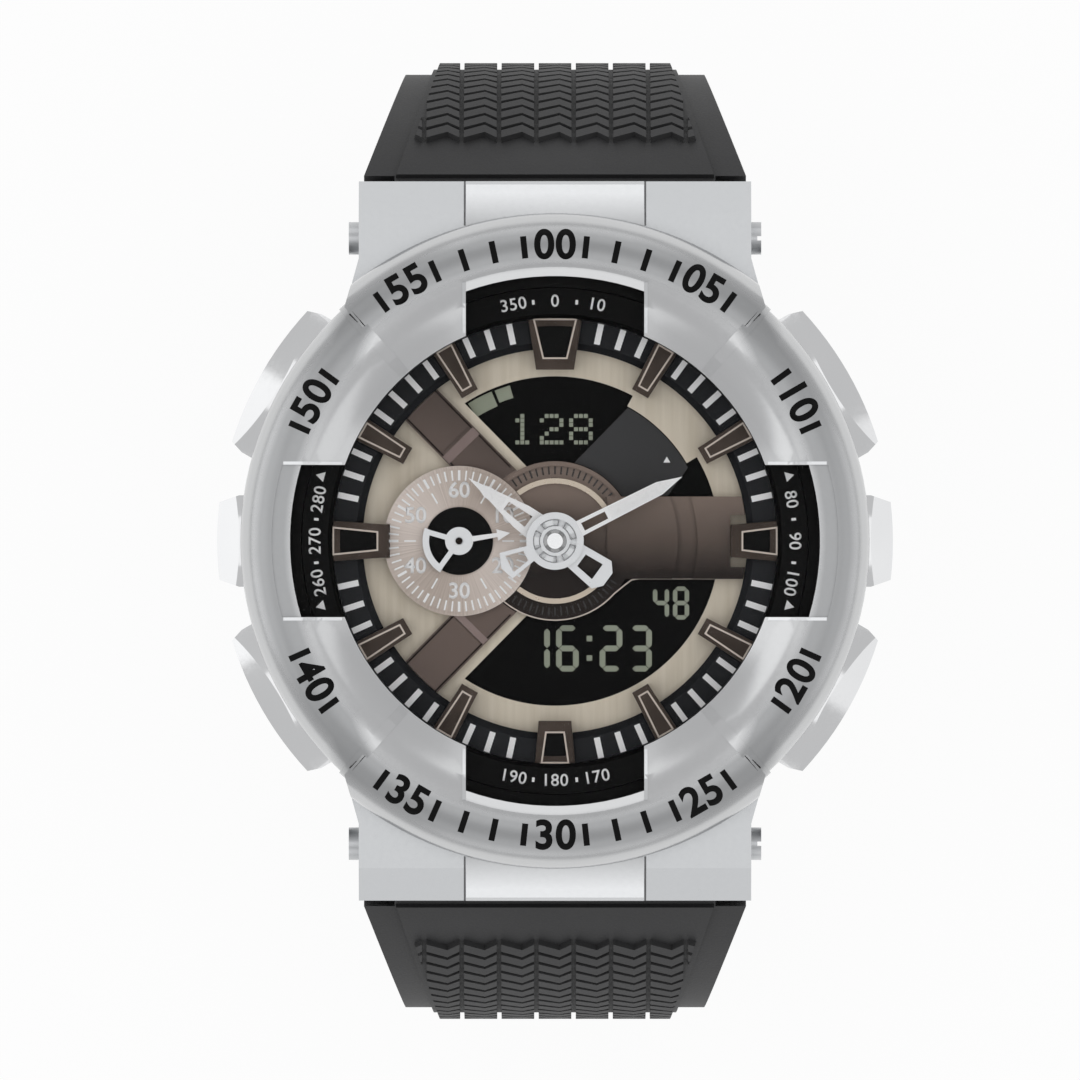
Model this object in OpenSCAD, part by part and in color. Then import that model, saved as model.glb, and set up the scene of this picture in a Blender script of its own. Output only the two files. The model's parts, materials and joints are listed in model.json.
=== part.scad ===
// Analogue and digital sports watch with a moulded strap, open at the buckle.
// The dial faces up, 12 o'clock is along +Y and 3 o'clock along +X.

/* [Case] */
// Distance from lug tip to lug tip
lug_span = 55; // [54:0.5:57]
// Width of a lug block at its tip
lug_w = 30; // [29:0.5:31]
// Radius of the moulded case body
case_r = 22.8; // [22.6:0.1:23.2]
// Radius of the cavity that holds the movement
cavity_r = 17.2; // [17:0.1:17.5]
// Distance from the dial centre to a strap pin
pin_y = 23.2; // [23:0.1:23.6]
// Height of the strap pins over the back plate
pin_z = 4.6; // [4.5:0.1:5]
// Thickness of the lug roof at its tip
lug_tip_t = 1.6; // [0.8:0.1:1.6]
// Fall of the lug roof from its crease to its tip
lug_fall = 1.4; // [1:0.1:2.4]
// Thickness of a lug cheek
cheek_t = 2.5; // [2:0.1:3]
// Half width of the raised panel in the middle of a lug
lug_panel_hw = 6.8; // [5:0.1:8]
// Height of that panel over the lug roof
lug_panel_t = 0.45; // [0.2:0.05:0.6]
// Fall of that panel from the bezel to the lug tip
lug_panel_fall = 0.6; // [0.2:0.1:1]

/* [Bezel] */
// Radius of the bezel's round sides
bezel_r = 24; // [23.8:0.1:24.2]
// Radius of the bezel's top and bottom segments
segment_r = 25; // [24.8:0.1:25.3]
// Radius of the opening over the dial
dial_r = 17.05; // [16.8:0.05:17.2]
// Height of the bezel over the crystal
bezel_rise = 2.2; // [1.8:0.1:3]
// Half width of the windows at 12 and 6 o'clock
window_tall_hw = 6.8; // [5:0.1:8]
// Half width of the windows at 3 and 9 o'clock
window_side_hw = 5.8; // [5:0.1:6.5]
// Radius to which the windows run out
window_r = 20.2; // [19.5:0.1:20.4]
// Radius of the shallow step outside each side window
step_r = 21.6; // [21.2:0.1:22]
// Depth of that step
step_t = 0.5; // [0.2:0.05:0.8]
// Angle of the diagonal ribs over the horizontal
seam_angle = 48; // [47:0.5:50]
// Width of a diagonal rib
rib_w = 0.85; // [0.5:0.05:1.2]
// Height of a rib over the bezel
rib_t = 0.16; // [0.1:0.02:0.3]

/* [Crystal and dial] */
// Radius of the crystal
crystal_r = 20.95; // [20.9:0.05:21.1]
// Thickness of the crystal
crystal_t = 1.5; // [1:0.1:2]
// Radial thickness of the crystal gasket
gasket_t = 0.4; // [0.3:0.05:0.5]
// Height from the underside of the dial to the crystal
dial_room = 4.2; // [4:0.1:4.6]
// Thickness of the dial plate
dial_t = 0.5; // [0.3:0.05:0.6]
// Inner radius of the chapter ring
chapter_r = 14.7; // [14.4:0.1:14.9]
// Height of the chapter ring over the dial
chapter_h = 1.5; // [1:0.1:2]
// Height of the hour indexes over the dial
index_h = 2.1; // [1.7:0.1:2.4]
// Outer radius of the windows in the dial
lcd_r = 12.6; // [12:0.1:12.8]
// Radius of the raised centre ring
centre_r = 6.1; // [5.8:0.1:6.3]
// Width of a diagonal arm of the bridge
arm_w = 3.4; // [3:0.1:3.8]
// Height of the bridge over the dial
bridge_h = 0.8; // [0.6:0.1:1]
// Upper edge of the arm at 3 o'clock
arm_top = 3.4; // [2.8:0.1:3.6]
// Lower edge of the arm at 3 o'clock
arm_low = 2.9; // [2.8:0.1:3.6]
// Distance of the small dial from the centre
subdial_x = 7.33; // [7.2:0.05:7.5]
// Radius of the small dial
subdial_r = 5.75; // [5.4:0.05:5.8]

/* [Hands] */
// Length of the minute hand
minute_l = 10.9; // [9:0.1:12]
// Length of the hour hand
hour_l = 8.2; // [7:0.1:9]
// Length of the small seconds hand
second_l = 3.95; // [3:0.05:4.6]
// Thickness of a hand
hand_t = 0.3; // [0.2:0.05:0.4]
// Radius of the hands' hubs
hub_r = 2.2; // [1.8:0.1:2.4]
// Angle of the minute hand clockwise from 12
minute_at = 63.2; // [0:0.1:360]
// Angle of the hour hand clockwise from 12
hour_at = 306; // [0:0.5:360]

/* [Movement] */
// Thickness of the steel back plate
back_t = 1.3; // [1:0.1:1.6]
// Side of the rounded square back plate
back_w = 38; // [37.6:0.1:38.2]
// Corner radius of the back plate
back_corner = 12; // [11.6:0.1:13]
// Distance of the back screws from the centre lines
screw_at = 14; // [13.8:0.1:14.2]
// Height of the pad between the back plate and the battery clip
pad_t = 0.45; // [0.3:0.05:0.6]
// Radius of the movement
module_r = 15.2; // [15:0.1:15.4]
// Radius of the coin battery
battery_r = 10; // [8:0.5:10]
// Height of the coin battery
battery_h = 1.6; // [1.2:0.1:2]
// Thickness of the circuit board
board_t = 0.6; // [0.4:0.1:0.8]
// Room for coils and wheels over the circuit board
train_h = 3.1; // [2.9:0.1:3.4]
// Thickness of a liquid crystal cell
cell_t = 1.0; // [0.8:0.1:1.2]
// Distance of the minute wheel from the centre
train_x = 3.36; // [3.3:0.01:3.5]

/* [Pushers] */
// Travel of a pusher
push_travel = 0.8; // [0.4:0.1:0.9]
// Radius of the pushers' outer faces
pusher_r = 25.85; // [25.2:0.05:26.2]
// Width of a corner pusher
corner_w = 12.2; // [11:0.1:12.4]
// Width of a side pusher where it leaves the case
side_w = 7; // [6:0.1:7.2]
// Height of the pusher caps
cap_h = 6; // [5:0.1:6.4]
// Fall of a cap's top towards its face
cap_fall = 1.3; // [0.8:0.1:2]
// Length of that slope
cap_slope = 1.7; // [1:0.1:1.8]
// Radius of the rounding across a cap
cap_round = 16; // [10:0.5:20]
// Angle of the corner pushers over the horizontal
corner_angle = 30; // [29:0.5:31]
// Height of the pusher axes over the back plate
pusher_z = 7.0; // [6.9:0.05:7.1]
// Radius of the pusher stems
stem_r = 0.9; // [0.7:0.05:1]

/* [Strap] */
// Length of the watch from outer strap bend to outer strap bend
strap_span = 74; // [73:0.5:76]
// Half width of the strap at the lugs
strap_hw = 14.65; // [14.2:0.05:14.8]
// Half width of the strap at its outer bend
bend_hw = 11.2; // [11:0.05:12]
// Half width of the strap from there on
tail_hw = 10.5; // [10:0.1:10.8]
// Thickness of the strap at the lugs
strap_t = 4.4; // [4:0.1:4.8]
// Thickness of the strap past its outer bend
tail_t = 3; // [2.6:0.1:3.4]
// Half width of the raised panel at the lugs
panel_hw = 12.2; // [11.4:0.1:12.6]
// Half width of the raised panel at the bend
panel_bend_hw = 9.2; // [8.6:0.1:9.6]
// Height of the raised panel
panel_t = 0.4; // [0.3:0.05:0.7]
// Pitch of the tread rows along the strap
tread_pitch = 1.3; // [1.2:0.05:1.6]
// Pitch of the tread tiles across the strap
tile_w = 2.87; // [2.4:0.05:3.4]
// Height of the tread over the panel
tread_t = 0.5; // [0.2:0.05:0.6]
// Straight drop of the short half below its outer bend
short_drop = 5; // [5:0.5:6]
// Outer bend radius of the short half under the wrist
short_r = 17; // [16:0.5:18]
// Outer bend radius of the long half under the wrist
long_r = 24; // [22:0.5:25]
// Straight drop of the long half below its outer bend
long_drop = 14.9; // [12:0.1:15]
// Reach of the long half's flat foot past the middle
foot_l = 16; // [13:0.5:17]
// Outer bend radius of the long half's tip
tip_r = 18; // [16:0.5:20]
// Angle through which the tip turns up
tip_turn = 40; // [30:1:42]
// Pitch of the strap holes
hole_pitch = 6.2; // [5.5:0.1:7]
// Radius of the strap holes
hole_r = 1.15; // [1:0.05:1.4]
// Radius of a strap pin
pin_r = 1.0; // [0.8:0.05:1.1]

/* [Buckle] */
// Length of the buckle frame from its pin
buckle_l = 16.5; // [15:0.5:17]
// Thickness of the buckle frame
buckle_t = 2.0; // [1.6:0.1:2.4]
// Width of a side of the buckle frame
buckle_side = 1.8; // [1.4:0.1:2.2]
// Radius of the buckle pin
buckle_pin_r = 0.75; // [0.6:0.05:0.8]
// Width of the prong
prong_w = 2.2; // [1.8:0.1:2.4]
// Length of the keeper along the strap
keeper_l = 5; // [4:0.5:6]
// Room in the keeper for the strap's tail
keeper_room = 3.6; // [3.4:0.1:3.9]
// Wall of the keeper
keeper_t = 1.4; // [1:0.1:1.8]

/* [Hidden] */
$fn = 96;

// Clearances
run_gap = 0.05;
seat_gap = 0.02;
body_gap = 0.3;
far = 60;

// Place of the spring that feeds the sounder
spring_x = 12.6;
spring_y = -5;

// Heights over the underside of the back plate
case_z = 0.2;
pad_z = back_t;
clip_plate_t = 0.2;
battery_z = pad_z + pad_t + clip_plate_t + run_gap;
board_z = battery_z + battery_h + 0.3;
train_z = board_z + board_t;
cell_z = train_z + train_h;
dial_z = cell_z + cell_t + 0.1;
face_z = dial_z + dial_t;
crystal_z = dial_z + dial_room;
crystal_top = crystal_z + crystal_t;
bezel_top = crystal_top + bezel_rise;
rim_z = crystal_top - 0.3;
bridge_z = face_z + bridge_h;
subdial_z = bridge_z + run_gap;
subdial_t = 0.25;
second_z = subdial_z + subdial_t + 0.3;
hour_z = second_z + hand_t + 0.2;
minute_z = hour_z + hand_t + 0.3;

// Case, bezel and lugs
ledge_z = pusher_z + 2.3;
barrel_r = 2.7;
case_wall_y = pin_y - barrel_r - body_gap;
roof_z = pin_z + barrel_r + body_gap;
lug_tip_z = roof_z + lug_tip_t;
lug_roof_z = lug_tip_z + lug_fall;
lug_root_w = lug_w + 1;
lug_in_y = 16.9;
lug_root_y = 19.8;
lug_crease_y = lug_span / 2 - 2.5;
lug_boss_r = 4.35;
lug_panel_edge = 0.25;
flange_r = window_r + run_gap;
bezel_low = 2.3;
skirt_in = case_r + 2 * run_gap;
crown_w = 3.2;
crown_h = 2.6;
chamfer_w = 1.65;
segment_chamfer_w = 2.15;
lip_w = 0.7;
segment_low = lug_roof_z + run_gap;
corner_angles = [corner_angle, -corner_angle, 180 + corner_angle, 180 - corner_angle];

// Back plate screws and the groove of its gasket
screw_r = 0.55;
screw_head_r = 1.35;
screw_wall = screw_head_r + 0.7;
plate_corner = min(back_corner, ((back_w / 2 - screw_at) * sqrt(2) - screw_wall) / (sqrt(2) - 1));
back_groove_r = 10.6;
back_groove_w = 0.6;
groove_in = cavity_r + 0.15;
groove_out = cavity_r + 0.65;

// Pushers
cap_depth = 4.65;
pocket_r = pusher_r - cap_depth;
cap_in = pocket_r + push_travel + body_gap;
stem_in = module_r + push_travel + body_gap;
spring_floor = cavity_r + 2.2;
spring_r = 1.5;
spring_wire = 0.2;
seal_in = cavity_r + 0.8;
seal_l = 0.8;
seal_t = 0.6;
clip_r = 1.5;
clip_t = 0.3;

// Dial
bar_in = 15.35;
bar_w = 0.46;
arm_angle = 45.5;
arm_start = 4;
arm_end = 15.6;
ring_r = 4.8;
ring_w = 0.4;
subdial_hub_r = 2.6;
notch_r = 11.7;
notch_from = 30.6;
notch_to = 61.8;
index_edge = 0.55;
inlay_t = 0.3;

// Strap, seen from the side, with the outer bend's centre at bend_y and bend_z
bend_start = 45;
shoulder_r = 4.9;
shoulder_along = sqrt(shoulder_r * shoulder_r - barrel_r * barrel_r);
shoulder_y = pin_y + (shoulder_along + barrel_r) * sin(bend_start);
shoulder_z = pin_z + (barrel_r - shoulder_along) * sin(bend_start);
side_y = strap_span / 2 - panel_t - tread_t;
bend_r = (side_y - shoulder_y) / (1 - cos(bend_start));
bend_y = side_y - bend_r;
bend_z = shoulder_z - bend_r * sin(bend_start);
short_low = bend_z - short_drop - short_r;
long_low = bend_z - long_drop - long_r;
buckle_z = short_low + tail_t / 2;
keeper_y = 3.5;
back_lift = -long_low;
tile_rise = 0.75;
tile_gap = 0.35;
tread_groove = 0.35;

// Strap pins, their heads and their screws
pin_head_r = pin_r + 0.25;
pin_head_t = 0.8;
pin_screw_r = 0.55;
pin_screw_l = 5.5;
head_hw = lug_w / 2 - cheek_t - 0.2;
eye_r = 1.9;

// Train of wheels between the minute hand and the hour hand
pinion_teeth = 12;
wheel_teeth = 36;
small_teeth = 10;
hour_teeth = 40;
m_fast = 2 * train_x / (pinion_teeth + wheel_teeth);
m_slow = 2 * train_x / (small_teeth + hour_teeth);
plate_z = train_z + 1.9;
plate_t = 0.4;
pinion_z = train_z + 2.4;
hour_wheel_z = train_z + 3.1;
bore_gap = 0.03;
post_r = 0.3;
stud_r = 0.25;
cannon_r = 0.55;
hour_pipe_r = 0.9;
arbor_r = 0.3;
hand_hole_r = hour_pipe_r + body_gap;
arbor_hole_r = arbor_r + 0.5;
hub_slots = 5;
hub_slot_r = 1.2;

// Movement
frame_wall = 1;
frame_step = 0.5;
piezo_r = 7;
piezo_t = 0.2;
contact_r = 0.5;
contact_wire = 0.12;
contact_hole_r = 0.9;
gear_post_x = 10.6;
gear_plate_l = 17.5;
gear_plate_w = 5.4;
zebra_y = 11.2;
zebra_l = 9;

// Colours
silver = [0.80, 0.81, 0.82];
steel = [0.72, 0.73, 0.75];
rubber = [0.17, 0.17, 0.18];
brown = [0.28, 0.23, 0.20];
champagne = [0.82, 0.77, 0.67];
brass = [0.80, 0.66, 0.38];
black = [0.05, 0.05, 0.05];

// Everything in the case is drawn over the back plate and lifted onto the strap
module lifted() {
    translate([0, 0, back_lift]) children();
}

// A ring or disc between two heights
module tube(outer, inner, low, high) {
    translate([0, 0, low]) difference() {
        cylinder(r = outer, h = high - low);
        if (inner > 0) translate([0, 0, -1]) cylinder(r = inner, h = high - low + 2);
    }
}

// A side view, in Y and Z, drawn out along X
module side_extrude(w) {
    rotate([90, 0, 90]) linear_extrude(height = w, center = true) children();
}

// A block centred in X and Y
module block(x, y, low, high) {
    translate([-x / 2, -y / 2, low]) cube([x, y, high - low]);
}

module both_ends() {
    children();
    mirror([0, 1, 0]) children();
}

// A wheel of straight-sided teeth, the first one on +X
module gear_outline(teeth, m) {
    tip = m * (teeth / 2 + 0.85);
    root = m * (teeth / 2 - 1.1);
    step = 360 / teeth;
    polygon([for (i = [0 : teeth - 1], k = [0 : 3])
        let (a = i * step + [-0.24, -0.10, 0.10, 0.24][k] * step, r = k == 0 || k == 3 ? root : tip)
        [r * cos(a), r * sin(a)]]);
}

// A closed spring wound about Z, from low to high
module coil_spring(r, wire, low, high, turns) {
    sides = 5;
    steps = 12 * turns;
    rise = (high - low - 2 * wire) / steps;
    ring = [for (i = [0 : steps], k = [0 : sides - 1])
        let (a = i * 30, b = k * 360 / sides, q = r + wire * cos(b))
        [q * cos(a), q * sin(a), low + wire + i * rise + wire * sin(b)]];
    wall = [for (i = [0 : steps - 1], k = [0 : sides - 1], t = [0 : 1])
        let (p = i * sides + k, n = i * sides + (k + 1) % sides)
        t == 0 ? [p, p + sides, n] : [n, p + sides, n + sides]];
    ends = [[for (k = [0 : sides - 1]) k], [for (k = [0 : sides - 1]) steps * sides + sides - 1 - k]];
    polyhedron(points = ring, faces = concat(wall, ends));
}

// Case

module lug_side() {
    polygon([[case_wall_y - 3.5, case_z + 1], [case_wall_y - 3.5, lug_roof_z],
        [lug_crease_y, lug_roof_z], [lug_span / 2, lug_tip_z], [lug_span / 2, roof_z],
        [pin_y + 3.6, pin_z + barrel_r], [pin_y + 3.6, pin_z], [pin_y, case_z + 1]]);
    translate([pin_y, pin_z]) circle(r = lug_boss_r);
}

module lug_panel() {
    difference() {
        side_extrude(2 * lug_panel_hw) polygon([[lug_root_y - 0.8, lug_roof_z - 0.6],
            [lug_root_y - 0.8, lug_roof_z + lug_panel_t],
            [lug_span / 2 - lug_panel_edge, lug_roof_z + lug_panel_t - lug_panel_fall],
            [lug_span / 2, lug_roof_z + lug_panel_t - lug_panel_fall - lug_panel_edge],
            [lug_span / 2, roof_z + 0.2]]);
        tube(segment_r + 0.1, 0, lug_roof_z, far);
    }
}

module lug() {
    intersection() {
        side_extrude(lug_root_w + 1) lug_side();
        translate([0, 0, -1]) linear_extrude(height = 20) polygon([
            [-lug_root_w / 2 - 0.5, lug_in_y], [lug_root_w / 2 + 0.5, lug_in_y],
            [lug_root_w / 2, lug_root_y],
            [lug_w / 2, pin_y - 1.6], [lug_w / 2, lug_span / 2 + 1], [-lug_w / 2, lug_span / 2 + 1],
            [-lug_w / 2, pin_y - 1.6], [-lug_root_w / 2, lug_root_y]]);
    }
    lug_panel();
}

// A bar with the section of a pusher cap, rounded above and below
module cap_bar(w, grow) {
    translate([pocket_r - 4, 0, pusher_z]) rotate([90, 0, 90]) linear_extrude(height = 12) intersection() {
        square([w + 2 * grow, 2 * cap_h], center = true);
        translate([0, cap_h / 2 - cap_round]) circle(r = cap_round + grow);
        translate([0, cap_round - cap_h / 2]) circle(r = cap_round + grow);
    }
}

module pusher_pocket(angle, w) {
    rotate([0, 0, angle]) {
        difference() {
            cap_bar(w, body_gap);
            cylinder(r = pocket_r, h = 3 * pusher_z);
        }
        translate([0, 0, pusher_z]) rotate([0, 90, 0]) {
            cylinder(r = stem_r + run_gap, h = far);
            translate([0, 0, spring_floor]) cylinder(r = spring_r + spring_wire + body_gap, h = far);
            translate([0, 0, seal_in]) cylinder(r = stem_r + seal_t + run_gap, h = seal_l);
        }
    }
}

module case_middle() lifted() color(silver) difference() {
    union() {
        tube(case_r, 0, case_z, crystal_z);
        tube(case_r, crystal_r + gasket_t + run_gap, crystal_z - 0.1, rim_z);
        both_ends() lug();
    }
    tube(cavity_r, 0, back_t - 0.1, ledge_z + 0.1);
    tube(flange_r, 0, ledge_z, crystal_z + 1);
    translate([0, 0, -1]) linear_extrude(height = back_t + 1) back_outline(run_gap);
    both_ends() {
        translate([-lug_w / 2 + cheek_t, case_wall_y, -5])
            cube([lug_w - 2 * cheek_t, 20, roof_z + 5]);
        translate([0, pin_y, pin_z]) rotate([0, 90, 0])
            cylinder(r = pin_r + seat_gap, h = far, center = true);
    }
    for (a = corner_angles) pusher_pocket(a, corner_w);
    for (a = [0, 180]) pusher_pocket(a, side_w);
    for (x = [-1, 1], y = [-1, 1]) translate([x * screw_at, y * screw_at, 0])
        cylinder(r = screw_r + run_gap, h = 5);
    tube(groove_out, groove_in, back_t - 0.1, back_t + 0.35);
}

// The side view of half a bezel ring, out to the radius r
module bezel_section(r, chamfer_r) {
    polygon(concat([[dial_r, crystal_top + run_gap], [dial_r, crystal_top + 0.3],
        [chamfer_r, bezel_top - 0.55]],
        [for (i = [0 : 8]) let (a = 100 - i * 12.5)
            [r - crown_w + crown_w * cos(a), bezel_top - crown_h + crown_h * sin(a)]],
        [[r, segment_low], [skirt_in, segment_low], [skirt_in, rim_z + run_gap],
        [crystal_r + 0.1, rim_z + run_gap], [crystal_r + 0.1, crystal_top + run_gap]]));
}

module segment_plan() {
    polygon([[0, 0], [bezel_r * cos(seam_angle), bezel_r * sin(seam_angle)],
        [lug_root_w / 2, lug_root_y], [lug_root_w / 2, far], [-lug_root_w / 2, far],
        [-lug_root_w / 2, lug_root_y], [-bezel_r * cos(seam_angle), bezel_r * sin(seam_angle)]]);
}

module side_plan() {
    for (s = [-1, 1]) scale([s, 1]) polygon([[0, 0], [far * cos(seam_angle), far * sin(seam_angle)],
        [far * cos(seam_angle), -far * sin(seam_angle)]]);
}

module bezel_skirt() {
    intersection() {
        tube(bezel_r, skirt_in, bezel_low, segment_low + 1);
        translate([0, 0, -1]) linear_extrude(height = far) for (s = [-1, 1]) scale([s, 1])
            polygon([[0, 0], [far, far * tan(seam_angle - 1.5)], [far, -far * tan(seam_angle - 1.5)]]);
    }
}

module seam_ribs() {
    intersection() {
        rotate_extrude() polygon(concat([[dial_r + 0.1, crystal_top + 0.3],
            [dial_r + 0.1, crystal_top + 0.4 + rib_t],
            [dial_r + chamfer_w - rib_t, bezel_top - 0.55 + rib_t]],
            [for (i = [0 : 8]) let (a = 100 - i * 12.5)
                [bezel_r - crown_w + (crown_w + rib_t) * cos(a),
                bezel_top - crown_h + (crown_h + rib_t) * sin(a)]],
            [[bezel_r + rib_t, segment_low], [bezel_r - lip_w, segment_low],
            [bezel_r - lip_w, crystal_top + 0.3]]));
        for (a = [seam_angle, 180 - seam_angle, 180 + seam_angle, -seam_angle])
            rotate([0, 0, a]) translate([0, -rib_w / 2, 0]) cube([far, rib_w, far]);
    }
}

module bezel() lifted() color(silver) difference() {
    union() {
        intersection() {
            rotate_extrude() bezel_section(bezel_r, dial_r + chamfer_w);
            translate([0, 0, -1]) linear_extrude(height = far) side_plan();
        }
        both_ends() intersection() {
            rotate_extrude() bezel_section(segment_r, dial_r + segment_chamfer_w);
            translate([0, 0, -1]) linear_extrude(height = far) segment_plan();
        }
        bezel_skirt();
        seam_ribs();
    }
    translate([0, 0, crystal_top - 1]) intersection() {
        cylinder(r = window_r, h = 10);
        union() {
            block(2 * window_tall_hw, far, 0, 10);
            block(far, 2 * window_side_hw, 0, 10);
        }
    }
    translate([0, 0, bezel_top - step_t]) intersection() {
        cylinder(r = step_r, h = 10);
        block(far, 2 * window_side_hw, 0, 10);
    }
    translate([0, 0, bezel_top - step_t]) intersection() {
        cylinder(r = window_r + lip_w, h = 10);
        block(2 * window_tall_hw, far, 0, 10);
    }
    for (a = corner_angles) pusher_pocket(a, corner_w);
    for (a = [0, 180]) pusher_pocket(a, side_w);
}

module crystal() lifted() color([0.85, 0.90, 0.95, 0.3]) rotate_extrude()
    polygon([[0, crystal_z], [crystal_r, crystal_z], [crystal_r, crystal_top - 0.2],
        [crystal_r - 0.2, crystal_top], [0, crystal_top]]);

module crystal_gasket() lifted() color(black)
    tube(crystal_r + gasket_t, crystal_r + seat_gap, crystal_z, rim_z);

module back_outline(grow) {
    half = back_w / 2;
    flat = half - plate_corner;
    square([2 * (half + grow), 2 * flat], center = true);
    square([2 * flat, 2 * (half + grow)], center = true);
    for (x = [-1, 1], y = [-1, 1]) translate([x * flat, y * flat]) circle(r = plate_corner + grow);
}

module case_back() lifted() color(steel) difference() {
    linear_extrude(height = back_t) back_outline(0);
    tube(back_groove_r + back_groove_w, back_groove_r, -1, 0.25);
    for (x = [-1, 1], y = [-1, 1]) translate([x * screw_at, y * screw_at, -1]) {
        cylinder(r = screw_r + 0.2, h = 5);
        cylinder(r = screw_head_r + 0.1, h = 1.6);
    }
}

module back_gasket() lifted() color(black)
    tube(groove_out - run_gap, groove_in + run_gap, back_t, back_t + 0.32);

module back_screws() lifted() color(steel)
    for (x = [-1, 1], y = [-1, 1]) translate([x * screw_at, y * screw_at, 0]) difference() {
        union() {
            translate([0, 0, 0.05]) cylinder(r = screw_head_r, h = 0.53);
            translate([0, 0, 0.3]) cylinder(r = screw_r, h = 4.4);
        }
        for (a = [0, 90]) rotate([0, 0, a]) block(1.6, 0.32, -1, 0.35);
    }

// Dial

module flange_ring() lifted() color(black) rotate_extrude()
    polygon([[dial_r, ledge_z], [flange_r - run_gap, ledge_z], [flange_r - run_gap, crystal_z - 0.1],
        [flange_r - 0.85, crystal_z - 0.1], [flange_r - 0.95, crystal_z - 0.4],
        [dial_r + 0.3, crystal_z - 0.7], [dial_r, crystal_z - 1]]);

// Footprint of the index at hour h, from the index_in to the chapter ring's edge
function index_in(h) = h == 12 ? 13.1 : h == 6 ? 13.75 : h == 3 ? 13.45 : h == 9 ? 12.7 : 13.0;
function index_out_w(h) = h == 12 ? 4.4 : h % 3 == 0 ? 3.2 : 1.9;
function index_in_w(h) = h == 12 ? 2.9 : h % 3 == 0 ? 2.5 : 1.4;

module index_plan(h, shrink) {
    in = index_in(h) + shrink * 1.6;
    out = dial_r - run_gap;
    rotate(90 - 30 * h) intersection() {
        polygon([[in, -index_in_w(h) / 2 + shrink], [out + 1, -index_out_w(h) / 2 + shrink],
            [out + 1, index_out_w(h) / 2 - shrink], [in, index_in_w(h) / 2 - shrink]]);
        circle(r = out - shrink);
    }
}

module chapter_ring() lifted() color([0.14, 0.15, 0.16]) difference() {
    rotate_extrude() polygon([[chapter_r, face_z], [dial_r - run_gap, face_z],
        [dial_r - run_gap, face_z + chapter_h], [chapter_r + 0.5, face_z + chapter_h],
        [chapter_r, face_z + chapter_h - 0.5]]);
    translate([0, 0, face_z - 1]) linear_extrude(height = 5)
        for (h = [1 : 12]) index_plan(h, -0.01);
}

// A minute bar shows where no index covers it
function bar_free(m) = m % 5 != 0 && min(m % 15, 15 - m % 15) != 1;

module minute_ticks() lifted() color("white") for (m = [1 : 59])
    if (bar_free(m)) rotate([0, 0, -6 * m]) translate([-bar_w / 2, bar_in, face_z + chapter_h])
        cube([bar_w, dial_r - 2 * run_gap - bar_in, 0.08]);

module hour_indexes() lifted() color(brown) for (h = [1 : 12]) difference() {
    translate([0, 0, face_z]) linear_extrude(height = index_h) index_plan(h, 0);
    rotate([0, 0, 90 - 30 * h]) translate([index_in(h), 0, face_z + index_h]) rotate([0, -55, 0])
        translate([-3, -4, 0]) cube([3, 8, 3]);
    if (h % 3 == 0) translate([0, 0, face_z + index_h - inlay_t]) linear_extrude(height = 1)
        index_plan(h, index_edge);
}

module index_inlays() lifted() color(black) for (h = [3, 6, 9, 12])
    translate([0, 0, face_z + index_h - inlay_t]) linear_extrude(height = inlay_t / 2)
        index_plan(h, index_edge + seat_gap);

// Footprint of the upper window, or of the lower one
module upper_window(edge, rim) {
    intersection() {
        circle(r = lcd_r + rim);
        translate([-far, arm_top - rim]) square([2 * far, far]);
        rotate(180 - arm_angle) translate([-far, -far - edge + rim]) square([2 * far, far]);
    }
}

module lower_window(edge, rim) {
    intersection() {
        circle(r = lcd_r + rim);
        translate([-far, -far - arm_low + rim]) square([2 * far, far]);
        rotate(180 + arm_angle) translate([-far, edge - rim]) square([2 * far, far]);
    }
}

window_edge = arm_w / 2 + 0.75;

// Where the plate reaches further in, at the upper window's right
module window_notch() {
    difference() {
        polygon([[0, 0], [far * cos(notch_from), far * sin(notch_from)],
            [far * cos(notch_to), far * sin(notch_to)]]);
        circle(r = notch_r);
    }
}

module dial_plate() lifted() color(champagne) translate([0, 0, dial_z])
    linear_extrude(height = dial_t) difference() {
        circle(r = dial_r - run_gap);
        difference() {
            upper_window(window_edge, 0);
            window_notch();
        }
        lower_window(window_edge, 0);
        circle(r = hand_hole_r);
        translate([-subdial_x, 0]) circle(r = arbor_hole_r);
    }

module lcd_upper() lifted() color(black) translate([0, 0, cell_z]) linear_extrude(height = cell_t)
    difference() {
        upper_window(window_edge, 0.35);
        circle(r = ring_r - 0.2);
        translate([-subdial_x, 0]) circle(r = 1.5);
    }

module lcd_lower() lifted() color(black) translate([0, 0, cell_z]) linear_extrude(height = cell_t)
    difference() {
        lower_window(window_edge, 0.35);
        circle(r = ring_r - 0.2);
        translate([-subdial_x, 0]) circle(r = 1.5);
    }

module arm(angle, block_in) {
    rotate([0, 0, angle]) {
        translate([arm_start, -arm_w / 2, face_z]) cube([arm_end - arm_start, arm_w, bridge_h - 0.2]);
        translate([block_in, -arm_w / 2 + 0.25, face_z]) cube([arm_end - block_in, arm_w - 0.5, bridge_h]);
    }
}

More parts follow.
